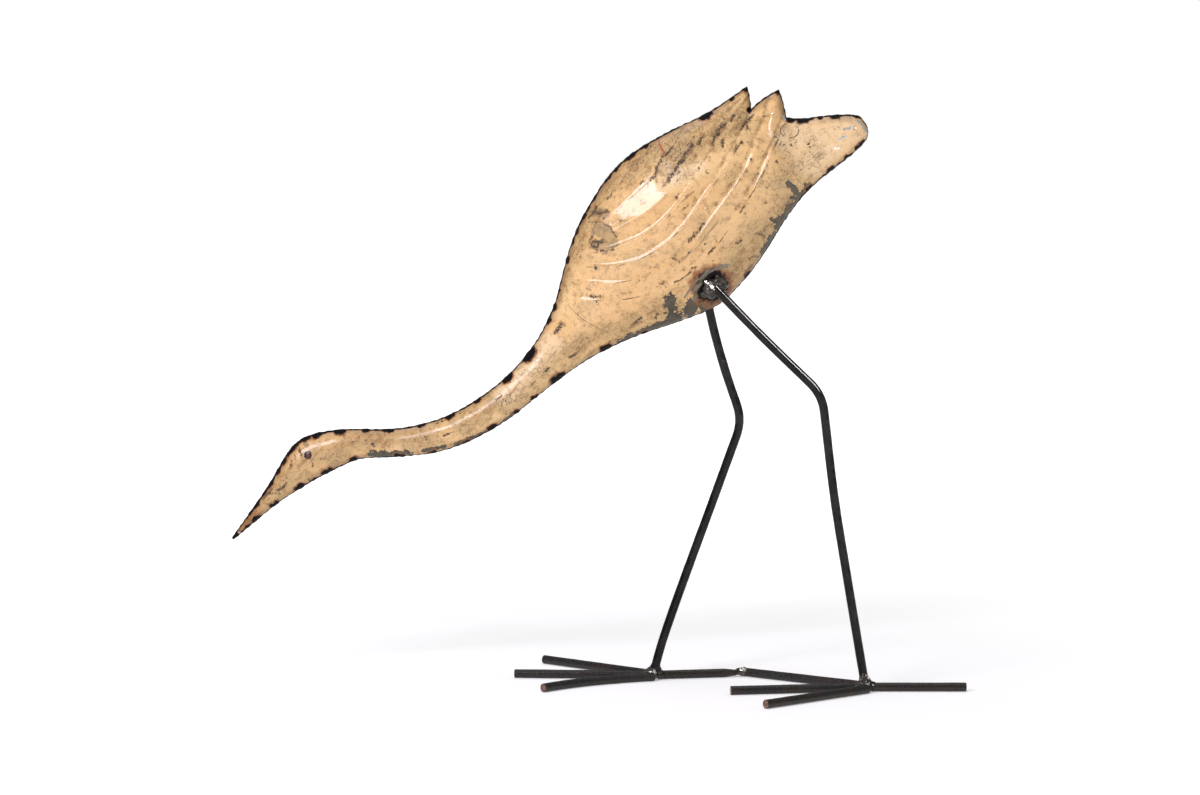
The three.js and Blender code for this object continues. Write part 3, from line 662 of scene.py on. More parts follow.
# %% The wing's grid
def wing_grid():
    """Rows of points along every feather. The field named crest is highest just outside a feather's
    edge, where enamel is knocked off, and groove at the foot of its flank, where the enamel is browner."""
    flank = FLANK_SHARE * np.arange(FLANK_ROWS) / FLANK_ROWS
    slope = FLANK_SHARE + (1 - FLANK_SHARE) * np.arange(SLOPE_ROWS) / SLOPE_ROWS
    bunching = np.sin(np.pi / 2 * np.arange(2 * SLOPE_ROWS) / (2 * SLOPE_ROWS))
    last_slope = FLANK_SHARE + (1 - FLANK_SHARE) * bunching
    columns = []
    for band in range(len(FEATHERS) - 1):
        inner_band = band < len(FEATHERS) - 2
        f = np.concatenate([flank, slope if inner_band else last_slope])[None]
        u = WING_US[:, None]
        start, end = feather_share(band, u), feather_share(band + 1, u)
        points = wing_point(u, start + (end - start) * f)
        across = np.linalg.norm(wing_point(u, end) - wing_point(u, start), axis=-1)
        relief = feather_relief(band, f, u)
        here, ahead = (np.minimum(edge_height(number, u) / FULL_EDGE, 1) for number in (band, band + 1))
        crest = np.maximum(ahead * np.exp(-((1 - f) * across / CREST_WEAR[0]) ** 2),
                           here * np.exp(-(f * across / CREST_WEAR[1]) ** 2))
        groove_tone = np.clip(edge_height(band, u) / BROWN_GROOVE_EDGE, 0, 1)
        groove_tone = groove_tone * (FRONT_GROOVE_BROWN + (1 - FRONT_GROOVE_BROWN) * u**2)
        groove = groove_tone * np.exp(-((f - GROOVE_BROWN_MIDDLE * FLANK_SHARE) * across / GROOVE_BROWN_REACH) ** 2)
        columns.append((points, relief, crest, groove))
    edge = wing_point(WING_US[:, None], np.ones((1, 1)))
    nothing = np.zeros((len(WING_US), 1))
    columns.append((edge, nothing, nothing, nothing))
    points, relief, crest, groove = (np.concatenate(parts, axis=1) for parts in zip(*columns))
    rim = np.zeros(relief.shape, bool)
    rim[[0, -1]] = True
    rim[:, -1] = True
    return points, relief, rim, crest, groove


belly, wing = belly_grid(), wing_grid()
print("belly", belly[0].shape[:2], "wing", wing[0].shape[:2])

# %% [markdown]
# The height of every point is the cushion shape, plus the feathers, a shallow dome on the shoulder, the
# dents and the eye, which is a low bead. Relief and dents settle down to nothing where the half is
# thin, so the rim stays true.

# %% Height of a half
EYE_REACH = 3.2
EYE_HEIGHT = 0.55
LOBE = np.array([33.6, 438.3])
LOBE_TURN = math.radians(45)
LOBE_REACH = (42.0, 48.0)
LOBE_HEIGHT = 1.0


def lobe_swell(points):
    """A shallow dome over the innermost feather: the square of one less the squared distance to its
    middle, over an ellipse that leans with the feathers."""
    ahead = np.array([math.cos(LOBE_TURN), math.sin(LOBE_TURN)])
    aside = np.array([-ahead[1], ahead[0]])
    away = points - LOBE
    far = (away @ ahead / LOBE_REACH[0]) ** 2 + (away @ aside / LOBE_REACH[1]) ** 2
    return LOBE_HEIGHT * np.maximum(1 - far, 0) ** 2


def half_points(side, grid, seed):
    """Height = cushion + (feather relief + dents) x settling + bead of the eye: a parabola round its
    centre. The result is x, y, z with y counted outwards from the seam plane."""
    flat, relief, rim, crest, groove = grid
    shape = relief.shape
    flat, relief, rim = flat.reshape(-1, 2), relief.ravel(), rim.ravel()
    height = np.where(rim, 0, plain_height(flat))
    bead = np.maximum(1 - (distance_to_line(flat, EYE) / EYE_REACH) ** 2, 0)
    pressed = relief + lobe_swell(flat) + DENT_DEPTH * waves(flat, seed, DENT_LENGTHS)
    height += pressed * smooth(height / SETTLE) * ~rim + EYE_HEIGHT * bead
    points = np.column_stack([flat[:, 0], side * (HALF_GAP + height), flat[:, 1]])
    fields = {"crest": crest.ravel(), "groove": groove.ravel()}
    return points, fields, shape


# %% [markdown]
# Both grids together are a half. Marks with a soft outline are measured from places that the short
# waves have shifted, and fine scratches from the true ones.

# %% Building a half
SHARP_MARKS = ("line", "ground", "red", "eye")


def body_half(name, side, marks, seed):
    """Both grids, welded along the outer feather, and closed behind by a flat face in the seam plane."""
    parts = [half_points(side, belly, seed), half_points(side, wing, seed)]
    points = np.vstack([part[0] for part in parts])
    fields = {key: np.concatenate([part[1][key] for part in parts]) for key in ("crest", "groove")}
    first = len(parts[0][0])
    triangles = np.vstack([grid_triangles(*parts[0][2]), grid_triangles(*parts[1][2], first)])
    flat = points[:, [0, 2]]
    fields["rim"] = in_chunks(lambda part: distance_to_line(part, RIM), flat)
    moved = shifted(flat, seed)
    for kind, lines in marks.items():
        where = flat if kind in SHARP_MARKS else moved
        fields[kind] = in_chunks(lambda part: field(part, lines), where)
    number_belly = np.arange(first).reshape(parts[0][2])
    number_wing = first + np.arange(len(parts[1][0])).reshape(parts[1][2])
    loop = np.concatenate([
        number_belly[:, 0], number_belly[NECK_COLUMNS + WING_COLUMNS:, -1][::-1], number_wing[-1],
        number_wing[::-1, -1], number_wing[0, ::-1], number_belly[:NECK_COLUMNS, -1][::-1]])
    points, triangles, fields, number = weld_points(points, triangles, fields)
    loop = number[loop]
    loop = loop[loop != np.roll(loop, 1)]
    if side > 0:
        triangles = triangles[:, ::-1]
    else:
        loop = loop[::-1]
    return make_mesh(name, points, triangles, fields, back=loop)


LEFT_SEED, RIGHT_SEED = 11, 12
left_mesh = body_half("left_body_half_sheet", -1, LEFT_MARKS, LEFT_SEED)
right_mesh = body_half("right_body_half_sheet", 1, RIGHT_MARKS, RIGHT_SEED)
print("left half", len(left_mesh.polygons), "faces, right half", len(right_mesh.polygons))

# %% [markdown]
# The rim is closed by a thin bead of weld, run round the whole bird and dressed with a file, so that it
# only shows as a dark line. Where a tack weld sits, the bead is fatter. A bead is an oval profile
# carried along the rim. Its tangent is taken over a few steps, so it turns the sharp corners at the
# feather tips without a spike.

# %% Seam bead
BEAD_STEP = 1.1
BEAD_SIDES = 10
BEAD_IN_PLANE = 0.55
BEAD_ACROSS = 0.8
BEAD_SUNK = 0.3
BEAD_WANDER = 0.12
BEAD_LUMPS = 0.16
BEAD_WAVES = 9
LUMP_SEED, WANDER_SEED = 5, 6
TACK_SWELL = 0.75
TACK_LENGTH = 2.6
TACK_USUAL = 4


def uneven(at, seed, lengths=(3.0, 14.0), count=BEAD_WAVES):
    """Sum of sine waves along a length, with a mean of nought and a usual size of one."""
    draw = np.random.default_rng(seed)
    pitch = draw.uniform(*lengths, count)
    phase = draw.uniform(0, 2 * np.pi, count)
    return np.sin(at[:, None] * 2 * np.pi / pitch + phase).sum(1) / math.sqrt(count / 2)


def seam_bead():
    """Centre = rim, a little sunk in. Radius = constant + waves + a bell at each tack weld."""
    line, at = even_line(rim_line(RIM_FINE), BEAD_STEP)
    line, at = line[:-1], at[:-1]
    ahead = np.roll(line, -2, axis=0) - np.roll(line, 2, axis=0)
    ahead /= np.linalg.norm(ahead, axis=1)[:, None]
    inward = np.column_stack([-ahead[:, 1], ahead[:, 0]])
    tack = np.zeros(len(line))
    for reach, *spot in TACKS:
        tack += np.exp(-(distance_to_line(line, spot) / TACK_LENGTH) ** 2) * reach / TACK_USUAL
    swell = (1 + BEAD_LUMPS * uneven(at, LUMP_SEED) + TACK_SWELL * tack)[:, None]
    centre = line + inward * (BEAD_SUNK + BEAD_WANDER * uneven(at, WANDER_SEED))[:, None]
    turn = 2 * np.pi * np.arange(BEAD_SIDES) / BEAD_SIDES
    in_plane = BEAD_IN_PLANE * swell * np.cos(turn)
    points = np.stack([
        centre[:, :1] + inward[:, :1] * in_plane, BEAD_ACROSS * swell * np.sin(turn),
        centre[:, 1:] + inward[:, 1:] * in_plane], axis=-1).reshape(-1, 3)
    triangles = grid_triangles(len(line), BEAD_SIDES, closed=True, ring=True)[:, ::-1]
    return make_mesh("rim_seam_bead", points, triangles)


seam_mesh = seam_bead()
print("seam bead", len(seam_mesh.polygons), "faces")


# %% [markdown]
# Legs and toes are round bar, 8 mm thick, cut off square. A bar is a circle carried along a line, with
# a small chamfer and a flat disc at each end. The direction across is kept from turning by working it
# out afresh, at each step, from one fixed direction. A field marks the cut faces, which rust first.

# %% Bars
BAR = 8.0
BAR_SIDES = 32
BAR_STEP = 2.0
CHAMFER = 0.45
PIT_DEPTH = 0.05
PIT_SHARE = 0.6
LONG_PITS, SHORT_PITS = (5.0, 60.0), (4.0, 20.0)
SHARP_FROM = math.radians(30)


def bar_mesh(name, line, aside, seed, tip_share=1.0, tip_length=1.0):
    """Ring radius = half the bar, with pits, shrinking to a share of itself over the last stretch. Each
    end is a chamfer ring, an edge ring and a point in the middle of the cut."""
    line, at = even_line(np.asarray(line, float), BAR_STEP)
    ahead = np.gradient(line, axis=0)
    ahead /= np.linalg.norm(ahead, axis=1)[:, None]
    across = aside - ahead * (ahead @ aside)[:, None]
    across /= np.linalg.norm(across, axis=1)[:, None]
    up = np.cross(ahead, across)
    left = at[-1] - at
    size = BAR / 2 * (tip_share + (1 - tip_share) * np.clip(left / tip_length, 0, 1))
    start = [line[0], line[0], line[0] + ahead[0] * CHAMFER]
    end = [line[-1] - ahead[-1] * CHAMFER, line[-1], line[-1]]
    centre = np.vstack([start, line[1:-1], end])
    root, tip = [0, size[0] - CHAMFER, size[0]], [size[-1], size[-1] - CHAMFER, 0]
    radius = np.concatenate([root, size[1:-1], tip])
    pick = np.concatenate([[0, 0, 0], np.arange(1, len(line) - 1), [-1, -1, -1]])
    turn = 2 * np.pi * np.arange(BAR_SIDES) / BAR_SIDES
    along = np.concatenate([[0, 0, 0], at[1:-1], [at[-1]] * 3])
    all_round = uneven(along, seed, LONG_PITS)[:, None]
    one_sided = np.outer(uneven(along, seed + 1, SHORT_PITS), np.cos(turn + seed))
    pits = PIT_DEPTH * (all_round * PIT_SHARE + one_sided * PIT_SHARE)
    ring = (radius[:, None] + pits * (radius > 0)[:, None])[..., None]
    points = centre[:, None] + ring * (
        across[pick][:, None] * np.cos(turn)[:, None] + up[pick][:, None] * np.sin(turn)[:, None])
    cut = np.zeros(points.shape[:2])
    cut[[0, 1, -2, -1]] = 1
    triangles = grid_triangles(*cut.shape, closed=True)[:, ::-1]
    points, triangles, fields, _ = weld_points(points.reshape(-1, 3), triangles, {"cut": cut.ravel()})
    mesh = make_mesh(name, points, triangles, fields)
    mesh.set_sharp_from_angle(angle=SHARP_FROM)
    return mesh


# %% [markdown]
# A leg goes down from the hip to the knee, bends there, and goes on to the ground in a slight bow. As
# seen from the side it is two smooth curves with a rounded corner between them. How far it stands out
# from the seam plane only depends on the height: from the swollen hip in to the knee, then straight.

# %% Lines of the legs
LEGS = {
    "left": dict(side=-1, thigh=[(101.5, 363.5), (144.2, 319.6)], knee=(198, 267.5),
                 shank=[(209.8, 173.2), (221.8, 101), (238.9, 1.4)], spread=(28.5, 30)),
    "right": dict(side=1, thigh=[(94.5, 361.5), (103.2, 321.3), (113.5, 284.9)], knee=(129.2, 238.6),
                  shank=[(106.4, 174.9), (57.5, 36.6), (48.1, 1.9)], spread=(28.5, 30)),
}
STAND_OFF = 1.2
BEND = 15.0
SPAN_STEPS = 24
LEG_SEED = 20


def flowing(points):
    """Like the smooth curve through knots, but each slope is weighed by the square roots of the
    neighbouring distances, so long and short steps meet without a kink."""
    points = np.asarray(points, float)
    ends = np.vstack([2 * points[0] - points[1], points, 2 * points[-1] - points[-2]])
    pace = np.sqrt(np.linalg.norm(np.diff(ends, axis=0), axis=1))
    f = np.linspace(0, 1, SPAN_STEPS + 1)[:, None]
    spans = []
    for i in range(len(points) - 1):
        a, b, c, d = ends[i:i + 4]
        before, here, after = pace[i:i + 3]
        slope_b = (b - a) / before - (c - a) / (before + here) + (c - b) / here
        slope_c = (c - b) / here - (d - b) / (here + after) + (d - c) / after
        m, n = slope_b * here, slope_c * here
        spans.append(b + m * f + (3 * (c - b) - 2 * m - n) * f**2 + (2 * (b - c) + m + n) * f**3)
    return np.vstack([spans[0]] + [span[1:] for span in spans[1:]])


def hip_spread(leg):
    """How far out the end of the bar is held: the body's half thickness, half a bar and the weld."""
    return float(plain_height(np.array([leg["thigh"][0]], float))[0]) + BAR / 2 + STAND_OFF


def leg_line(leg):
    """Thigh curve, a quadratic corner at the knee, shank curve."""
    hip_z, knee_z, foot_z = leg["thigh"][0][1], leg["knee"][1], leg["shank"][-1][1]
    knee_out, foot_out = leg["spread"]

    def stand(point):
        x, z = point
        above = knee_out + (hip_spread(leg) - knee_out) * (z - knee_z) / (hip_z - knee_z)
        below = knee_out + (foot_out - knee_out) * (knee_z - z) / (knee_z - foot_z)
        return np.array([x, leg["side"] * (below if z < knee_z else above), z])

    thigh, knee = [stand(point) for point in leg["thigh"]], stand(leg["knee"])
    shank = [stand(point) for point in leg["shank"]]
    over = knee + (thigh[-1] - knee) / np.linalg.norm(thigh[-1] - knee) * BEND
    under = knee + (shank[0] - knee) / np.linalg.norm(shank[0] - knee) * BEND
    f = np.linspace(0, 1, SPAN_STEPS + 1)[1:-1, None]
    corner = over * (1 - f) ** 2 + 2 * knee * f * (1 - f) + under * f**2
    return np.vstack([flowing(thigh + [over]), corner, flowing([under] + shank)])


ACROSS = np.array([0.0, 1, 0])
leg_meshes = {name: bar_mesh(name + "_leg_bar", leg_line(leg), ACROSS, LEG_SEED + leg["side"])
              for name, leg in LEGS.items()}
print("legs:", {name: len(mesh.polygons) for name, mesh in leg_meshes.items()})

# %% [markdown]
# Eight toes lie flat on the ground. Seven are straight lengths of bar, one has been bent, and the
# right foot's back toe is ground thinner at the end, where a dab of weld ties it to the other foot.

# %% Toes
TOES = {
    "left_outer_toe": [(240.2, -39.2), (144.5, -113)],
    "left_middle_toe": [(232.9, -30.8), (116.6, -47.3)],
    "left_inner_toe": [(235.6, -22.2), (130, 48.3)],
    "left_back_toe": [(243.9, -30), (329.1, -30)],
    "right_outer_toe": [(43, 38.5), (-52.6, 113)],
    "right_middle_toe": [(43, 30.6), (-78.6, 37.9)],
    "right_inner_toe": [(49.5, 21.6), (-12, 4), (-51.1, -35)],
    "right_back_toe": [(55.2, 31.2), (126, 43)],
}
GROUND_END = {"right_back_toe": dict(tip_share=0.62, tip_length=12.0)}
TOE_SEED = 40


def toe_line(corners):
    """Root to tip at half the bar's height. Three points are a quadratic curve's ends and its handle."""
    points = np.array([(x, y, BAR / 2) for x, y in corners], float)
    if len(points) == 2:
        return points
    f = np.linspace(0, 1, SPAN_STEPS + 1)[:, None]
    return points[0] * (1 - f) ** 2 + 2 * points[1] * f * (1 - f) + points[2] * f**2


UPWARDS = np.array([0.0, 0, 1])
toe_meshes = {}
for number, (name, corners) in enumerate(TOES.items()):
    toe_meshes[name] = bar_mesh(name + "_bar", toe_line(corners), UPWARDS, TOE_SEED + 3 * number,
                                **GROUND_END.get(name, {}))
print("toes:", len(toe_meshes), "with", sum(len(mesh.polygons) for mesh in toe_meshes.values()), "faces")

# %% [markdown]
# A weld laid by hand is a heap of frozen drops. Seen from its middle, each drop is a ball that a ray
# leaves at some distance, and the heap's surface is the largest of those distances in each direction,
# rounded off where two balls meet. That is again a function of two parameters, two angles here.

# %% Weld heaps
HEAP_RINGS = 72
HEAP_SIDES = 96
HEAP_FOOT = 0.4
DROP_BLEND = 1.7
LEAST_ROOT = 0.01
RIPPLE_DEPTH = 0.16
RIPPLE_WAVES = 14
RIPPLE_PACE = 6.0
RIPPLE_TURN = 6.3


def ripples(directions, seed):
    """Waves over a ball of directions, of random heading and a few cycles each."""
    draw = np.random.default_rng(seed)
    headings = draw.normal(0, RIPPLE_PACE, (3, RIPPLE_WAVES))
    phase = draw.uniform(0, RIPPLE_TURN, RIPPLE_WAVES)
    return np.sin(directions @ headings + phase).sum(1) / math.sqrt(RIPPLE_WAVES / 2)


def weld_heap(name, centre, drops, bright_and_glint, seed):
    """Distance in a direction d = soft maximum, over the drops, of the far root of |t d - c| = r."""
    polar = np.pi * np.arange(HEAP_RINGS + 1) / HEAP_RINGS
    turn = 2 * np.pi * np.arange(HEAP_SIDES) / HEAP_SIDES
    directions = np.stack([
        np.outer(np.sin(polar), np.cos(turn)), np.outer(np.sin(polar), np.sin(turn)),
        np.outer(np.cos(polar), np.ones(HEAP_SIDES))], axis=-1).reshape(-1, 3)
    drops = np.array(drops, float)
    middle, radius = drops[:, :3], drops[:, 3]
    facing = directions @ middle.T
    leave = facing + np.sqrt(np.maximum(facing**2 - (middle**2).sum(1) + radius**2, LEAST_ROOT))
    reach = np.log(np.exp(DROP_BLEND * leave).sum(1)) / DROP_BLEND
    reach += RIPPLE_DEPTH * ripples(directions, seed)
    points = np.array(centre) + directions * reach[:, None]
    points[:, 2] = np.maximum(points[:, 2], HEAP_FOOT)
    fields = {"bright_and_glint": field(points[:, [0, 2]], bright_and_glint)}
    triangles = grid_triangles(HEAP_RINGS + 1, HEAP_SIDES, closed=True)
    points, triangles, fields, _ = weld_points(points, triangles, fields)
    return make_mesh(name, points, triangles, fields)


# %% Hips, ankles and the tie
HIP_SUNK = 3.0
ANKLE_HEIGHT = 8.2
ANKLE_DROPS = [
    (0, 0, -1.5, 5.6), (-6.4, 2.5, -3.4, 4.0), (-7.0, -2.8, -3.2, 3.8), (6.6, 0.5, -3.6, 4.5),
    (0.5, 5.0, -3.2, 3.8), (1.2, -5.0, -3.4, 3.9), (-2.0, -2.8, 1.6, 3.2), (2.6, 0.6, 1.0, 3.6),
    (2.0, -2.8, 0.4, 3.6), (1.4, -1.4, 4.6, 2.8), (0.2, -2.4, 8.0, 2.2), (-1.6, -0.6, 3.6, 2.8)]


def hip_heap(name, drops, bright_and_glint, seed):
    """The hip's heap stands on the body, half way out along the end of the bar."""
    leg = LEGS[name]
    x, z = leg["thigh"][0]
    side = leg["side"]
    centre = (x + 1, side * (hip_spread(leg) - HIP_SUNK), z - 1)
    placed = [(dx, side * out, dz, r) for dx, out, dz, r in drops]
    shiny = [(reach, x + a, z + b) for a, b, reach in bright_and_glint]
    return weld_heap(name + "_hip_heap", centre, placed, shiny, seed)


def ankle_heap(name, bright_and_glint, seed):
    """The ankle's heap is a collar round the foot of the leg, with a drop between every two toes. Its
    upper drops lean with the shank."""
    leg = LEGS[name]
    (knee_x, knee_z), (x, z) = leg["shank"][-2:]
    side, foot_out = leg["side"], leg["spread"][1]
    lean = (knee_x - x) / (knee_z - z)
    placed = [(dx + lean * dz, -side * dy, dz, r) for dx, dy, dz, r in ANKLE_DROPS]
    centre = (x + lean * (ANKLE_HEIGHT - z), side * foot_out, ANKLE_HEIGHT)
    shiny = [(reach, x + a, b) for a, b, reach in bright_and_glint]
    return weld_heap(name + "_ankle_heap", centre, placed, shiny, seed)


# Each heap's short list of reaches and places marks brushed spots, which also stand for painted glints.
heaps = {
    "left_hip_weld": hip_heap("left", [
        (0, 0, 0, 6.4), (-5.0, 1.6, 3.0, 3.8), (-8.2, 0.2, 6.0, 3.4), (-7.0, 0.0, -1.6, 4.2),
        (-3.2, 0.2, -5.6, 4.2), (1.6, 2.2, 5.2, 3.8), (5.6, 0.6, 6.6, 3.8), (2.6, -0.6, 9.4, 3.8),
        (8.4, -0.2, 3.0, 3.6), (5.0, 0.2, -3.0, 4.2), (-1.2, 3.4, -0.4, 3.4), (-9.8, -1.0, -5.4, 3.4)],
        [(-8.6, 6.2, 1.1), (-6.4, 4.6, 1.5), (-4.0, 2.6, 1.5), (-2.0, 0.4, 1.5), (0.2, -1.4, 1.2),
         (-3.6, 5.6, 0.8)], 71),
    "right_hip_weld": hip_heap("right", [
        (0, 0, 0, 6.2), (4.8, 0.6, 2.0, 4.2), (-4.6, 1.6, -1.6, 4.0), (1.0, 2.4, 4.6, 3.8),
        (-2.4, 1.8, 3.8, 3.6), (3.0, 0.8, -4.4, 4.0)], [(-3, 2, 1.6)], 72),
    "left_ankle_weld": ankle_heap("left", [
        (1.8, 8.6, 1.7), (0.2, 16.0, 1.3), (2.4, 12.4, 1.0), (6.0, 6.4, 1.0), (-4.2, 8.6, 0.8)], 73),
    "right_ankle_weld": ankle_heap("right", [(2.0, 8.0, 1.7), (-1.4, 7.0, 1.2)], 74),
    "toe_tie_weld": weld_heap("toe_tie_heap", (128.4, 44.8, 4.6), [
        (0, 0, 0, 3.4), (2.2, 1.4, 0.6, 2.2), (-2.4, -0.4, 0.6, 2.2), (0.4, -2.2, 0.2, 2.4),
        (4.6, -0.2, 0.8, 2.2), (7.4, -1.8, 0.8, 1.6)],
        [(1.1, 124.6, 6.6), (1.1, 129.6, 7.2, 136.5, 6.4)], 75),
}
print("weld heaps:", {name: len(mesh.polygons) for name, mesh in heaps.items()})


# %% [markdown]
# Now the finishes. Each is a tree of nodes, built by short calls: a noise, a field from the mesh, a ramp
# between two values, a mix of two colours. All patterns read Object coordinates, which here are metres
# in the bird's own frame, so a scale of 100 means features of about a centimetre.

# %% Node helpers
SPREAD = 2.4
SEED_STEP = 1.7


class Finish:
    """A material and the calls that add nodes to it. Noises with different seeds don't line up."""

    def __init__(self, name, seed, gloss=0.5):
        self.material = bpy.data.materials.new(name)
        self.material.use_nodes = True
        self.tree = self.material.node_tree
        self.shader = self.tree.nodes["Principled BSDF"]
        self.shader.inputs["Specular IOR Level"].default_value = gloss
        self.place = self.tree.nodes.new("ShaderNodeTexCoord").outputs["Object"]
        self.seed = seed

    def feed(self, socket, value):
        """Sets an input to a plain value, or links it to the output of another node."""
        if isinstance(value, bpy.types.NodeSocket):
            self.tree.links.new(value, socket)
        else:
            socket.default_value = value

    def node(self, kind, inputs, output=0, **settings):
        """Adds a node and returns one of its outputs."""
        node = self.tree.nodes.new("ShaderNode" + kind)
        for key, value in settings.items():
            setattr(node, key, value)
        for key, value in inputs.items():
            self.feed(node.inputs[key], value)
        return node.outputs[output]

    def field(self, name):
        """What the mesh stores on its points under a name."""
        return self.node("Attribute", {}, 2, attribute_name=name)

    def noise(self, scale, detail=3.0, roughness=0.5, turned=0.0, stretch=1.0):
        """Noise with so many features a metre, if wished drawn out along a direction in the seam plane.
        Plain noise keeps close to a half, so it is spread out round it."""
        self.seed += SEED_STEP
        place = self.place
        if stretch != 1.0:
            place = self.node("Mapping", {"Vector": place, "Rotation": (0, math.radians(turned), 0)})
            place = self.node("Mapping", {"Vector": place, "Scale": (1 / stretch, 1, 1)})
        plain = self.node("TexNoise", {"Vector": place, "W": self.seed, "Scale": scale, "Detail": detail,
                                       "Roughness": roughness}, noise_dimensions="4D")
        return self.math("MULTIPLY_ADD", plain, SPREAD, (1 - SPREAD) / 2)

    def threads(self, scale, detail, width):
        """Thin winding lines: one where a noise crosses a half, nought where it is off by the width."""
        off = self.math("ABSOLUTE", self.math("SUBTRACT", self.noise(scale, detail, 0.6), 0.5))
        return self.ramp(off, width, 0.0)

    def ramp(self, value, low, high, first=0.0, last=1.0):
        """Goes smoothly from the first to the last number while the value goes from low to high."""
        return self.node("MapRange", {"Value": value, "From Min": low, "From Max": high, "To Min": first,
                                      "To Max": last}, interpolation_type="SMOOTHSTEP")

    def math(self, operation, a, b=0.0, c=0.0):
        """One sum, product or comparison of numbers."""
        return self.node("Math", {0: a, 1: b, 2: c}, operation=operation)

    def ragged(self, value, noise, amount):
        """A field with its edge torn by a noise: the noise's distance from a half, times an amount."""
        return self.math("MULTIPLY_ADD", self.math("SUBTRACT", noise, 0.5), amount, value)

    def arc(self, centre, radius, width, middle, reach, squash=1.0):
        """One on a circle in the seam plane, within reach of a point on it. All lengths are millimetres."""
        def away(point):
            flat = self.node("Mapping", {"Vector": self.place, "Scale": (1, 0, squash)})
            spot = ((point[0] + SHIFT_X) * MM, 0, point[1] * squash * MM)
            return self.node("VectorMath", {0: flat, 1: spot}, 1, operation="DISTANCE")
        off = self.math("ABSOLUTE", self.math("SUBTRACT", away(centre), radius * MM))
        near = self.ramp(away(middle), reach * MM, 0.8 * reach * MM)
        return self.math("MULTIPLY", self.ramp(off, width * MM, 0.4 * width * MM), near)

    def mix(self, share, a, b):
        """The second colour over the first one, as far as the share says."""
        a, b = ((*value, 1.0) if isinstance(value, tuple) else value for value in (a, b))
        return self.node("Mix", {0: share, 6: a, 7: b}, 2, data_type="RGBA")

    def blend(self, share, a, b):
        """The same for two numbers."""
        return self.node("Mix", {0: share, 2: a, 3: b}, 0, data_type="FLOAT")

    def finish(self, colour, roughness, metal, height, depth):
        """Wires up the shader. Height is in millimetres times depth."""
        bump = self.node("Bump", {"Height": height, "Distance": depth * MM, "Strength": 1.0})
        looks = {"Base Color": colour, "Roughness": roughness, "Metallic": metal, "Normal": bump}
        for name, value in looks.items():
            self.feed(self.shader.inputs[name], value)
        return self.material


# %% [markdown]
# The enamel was cream once. Now it is mottled, tan along the back and brown in the grooves. It is
# knocked off in dashes along the feather edges and in ragged patches under the belly, and every tack
# weld has burnt it black with a brown fringe. All of this is laid over the cream in thin coats, in the
# order in which it happened to the bird.
#
# A coat is one row of a table. It has a name and the pattern that says where it lies, then the other
# patterns that tear its edge, each with its amount. Two values of the pattern follow, between which the
# coat sets in, then how much it covers at most, and last its colour. A colour of five parts goes over
# from one to another while a pattern goes from one value to the next.

# %% Enamel colours
CREAM = (0.775, 0.518, 0.252)
HONEY = (0.710, 0.440, 0.200)
# PALE also paints the sheen on the tail.
PALE = (0.840, 0.620, 0.380)
OLIVE = (0.420, 0.290, 0.130)
TAN = (0.430, 0.262, 0.115)
BROWN = (0.200, 0.108, 0.043)
SOOT = (0.010, 0.008, 0.007)
SINGED = (0.300, 0.135, 0.052)
SCORCH = (0.120, 0.042, 0.018)
STEEL = (0.105, 0.091, 0.066)
DARK_STEEL = (0.034, 0.029, 0.023)
CRUMB = (0.034, 0.023, 0.014)
SLATE = (0.040, 0.041, 0.048)
FILM = (0.280, 0.228, 0.138)
GROUND_STEEL = (0.200, 0.178, 0.135)
# The polished-metal colour, also used for painted glints.
BRIGHT_STEEL_AND_GLINT = (0.860, 0.850, 0.820)
RUST_ORANGE = (0.340, 0.135, 0.042)
SCRATCH_RED = (0.400, 0.050, 0.032)
EYE_BROWN = (0.040, 0.015, 0.011)
EYE_MIDDLE = (0.140, 0.062, 0.042)

LEFT_ARCS = [
    ((168.5, 502), 8.2, 0.75, (174, 500), 9.0, 1.28), ((168.5, 502), 8.2, 0.5, (161, 504), 9.0, 1.28),
    ((171.5, 501.5), 8.2, 0.4, (163.5, 501), 6.0, 1.28), ((31.8, 399), 79.8, 0.4, (-12, 332), 22.0),
    ((33, 401), 84.5, 0.3, (-14, 330), 10.0), ((62, 520), 60.0, 0.5, (9, 491), 14.0),
    ((-40, 530), 110.0, 0.45, (40, 455), 22.0)]
RIGHT_ARCS = [((120, 500), 60.0, 0.5, (66, 474), 20.0), ((0, 380), 70.0, 0.4, (20, 313), 16.0)]
print("scored arcs:", len(LEFT_ARCS), "on the left,", len(RIGHT_ARCS), "on the right")

# %% Patterns and coats of the enamel
FIELDS = (*LEFT_MARKS, "crest", "groove", "rim")
COAT_NOISES = {
    "cloud": (14, 2), "blotch": (46, 6, 0.66), "mottle": (150, 4, 0.66), "grain": (540, 3, 0.6),
    "tear": (420, 4, 0.66), "crumbs": (760, 3, 0.62), "fleck": (300, 3, 0.6)}
WEAR_NOISES = {
    "smear": (190, 4, 0.65, 48, 5), "scuff": (120, 4, 0.6, 48, 14), "hair": (150, 2, 0.5, -18, 16),
    "chip": (130, 2)}
BURN_NOISES = {
    "dash": (60, 5, 0.6), "streak": (260, 3, 0.6, 35, 12), "orange peel": (240, 2), "dent": (80, 3),
    "cinder": (420, 3, 0.6)}

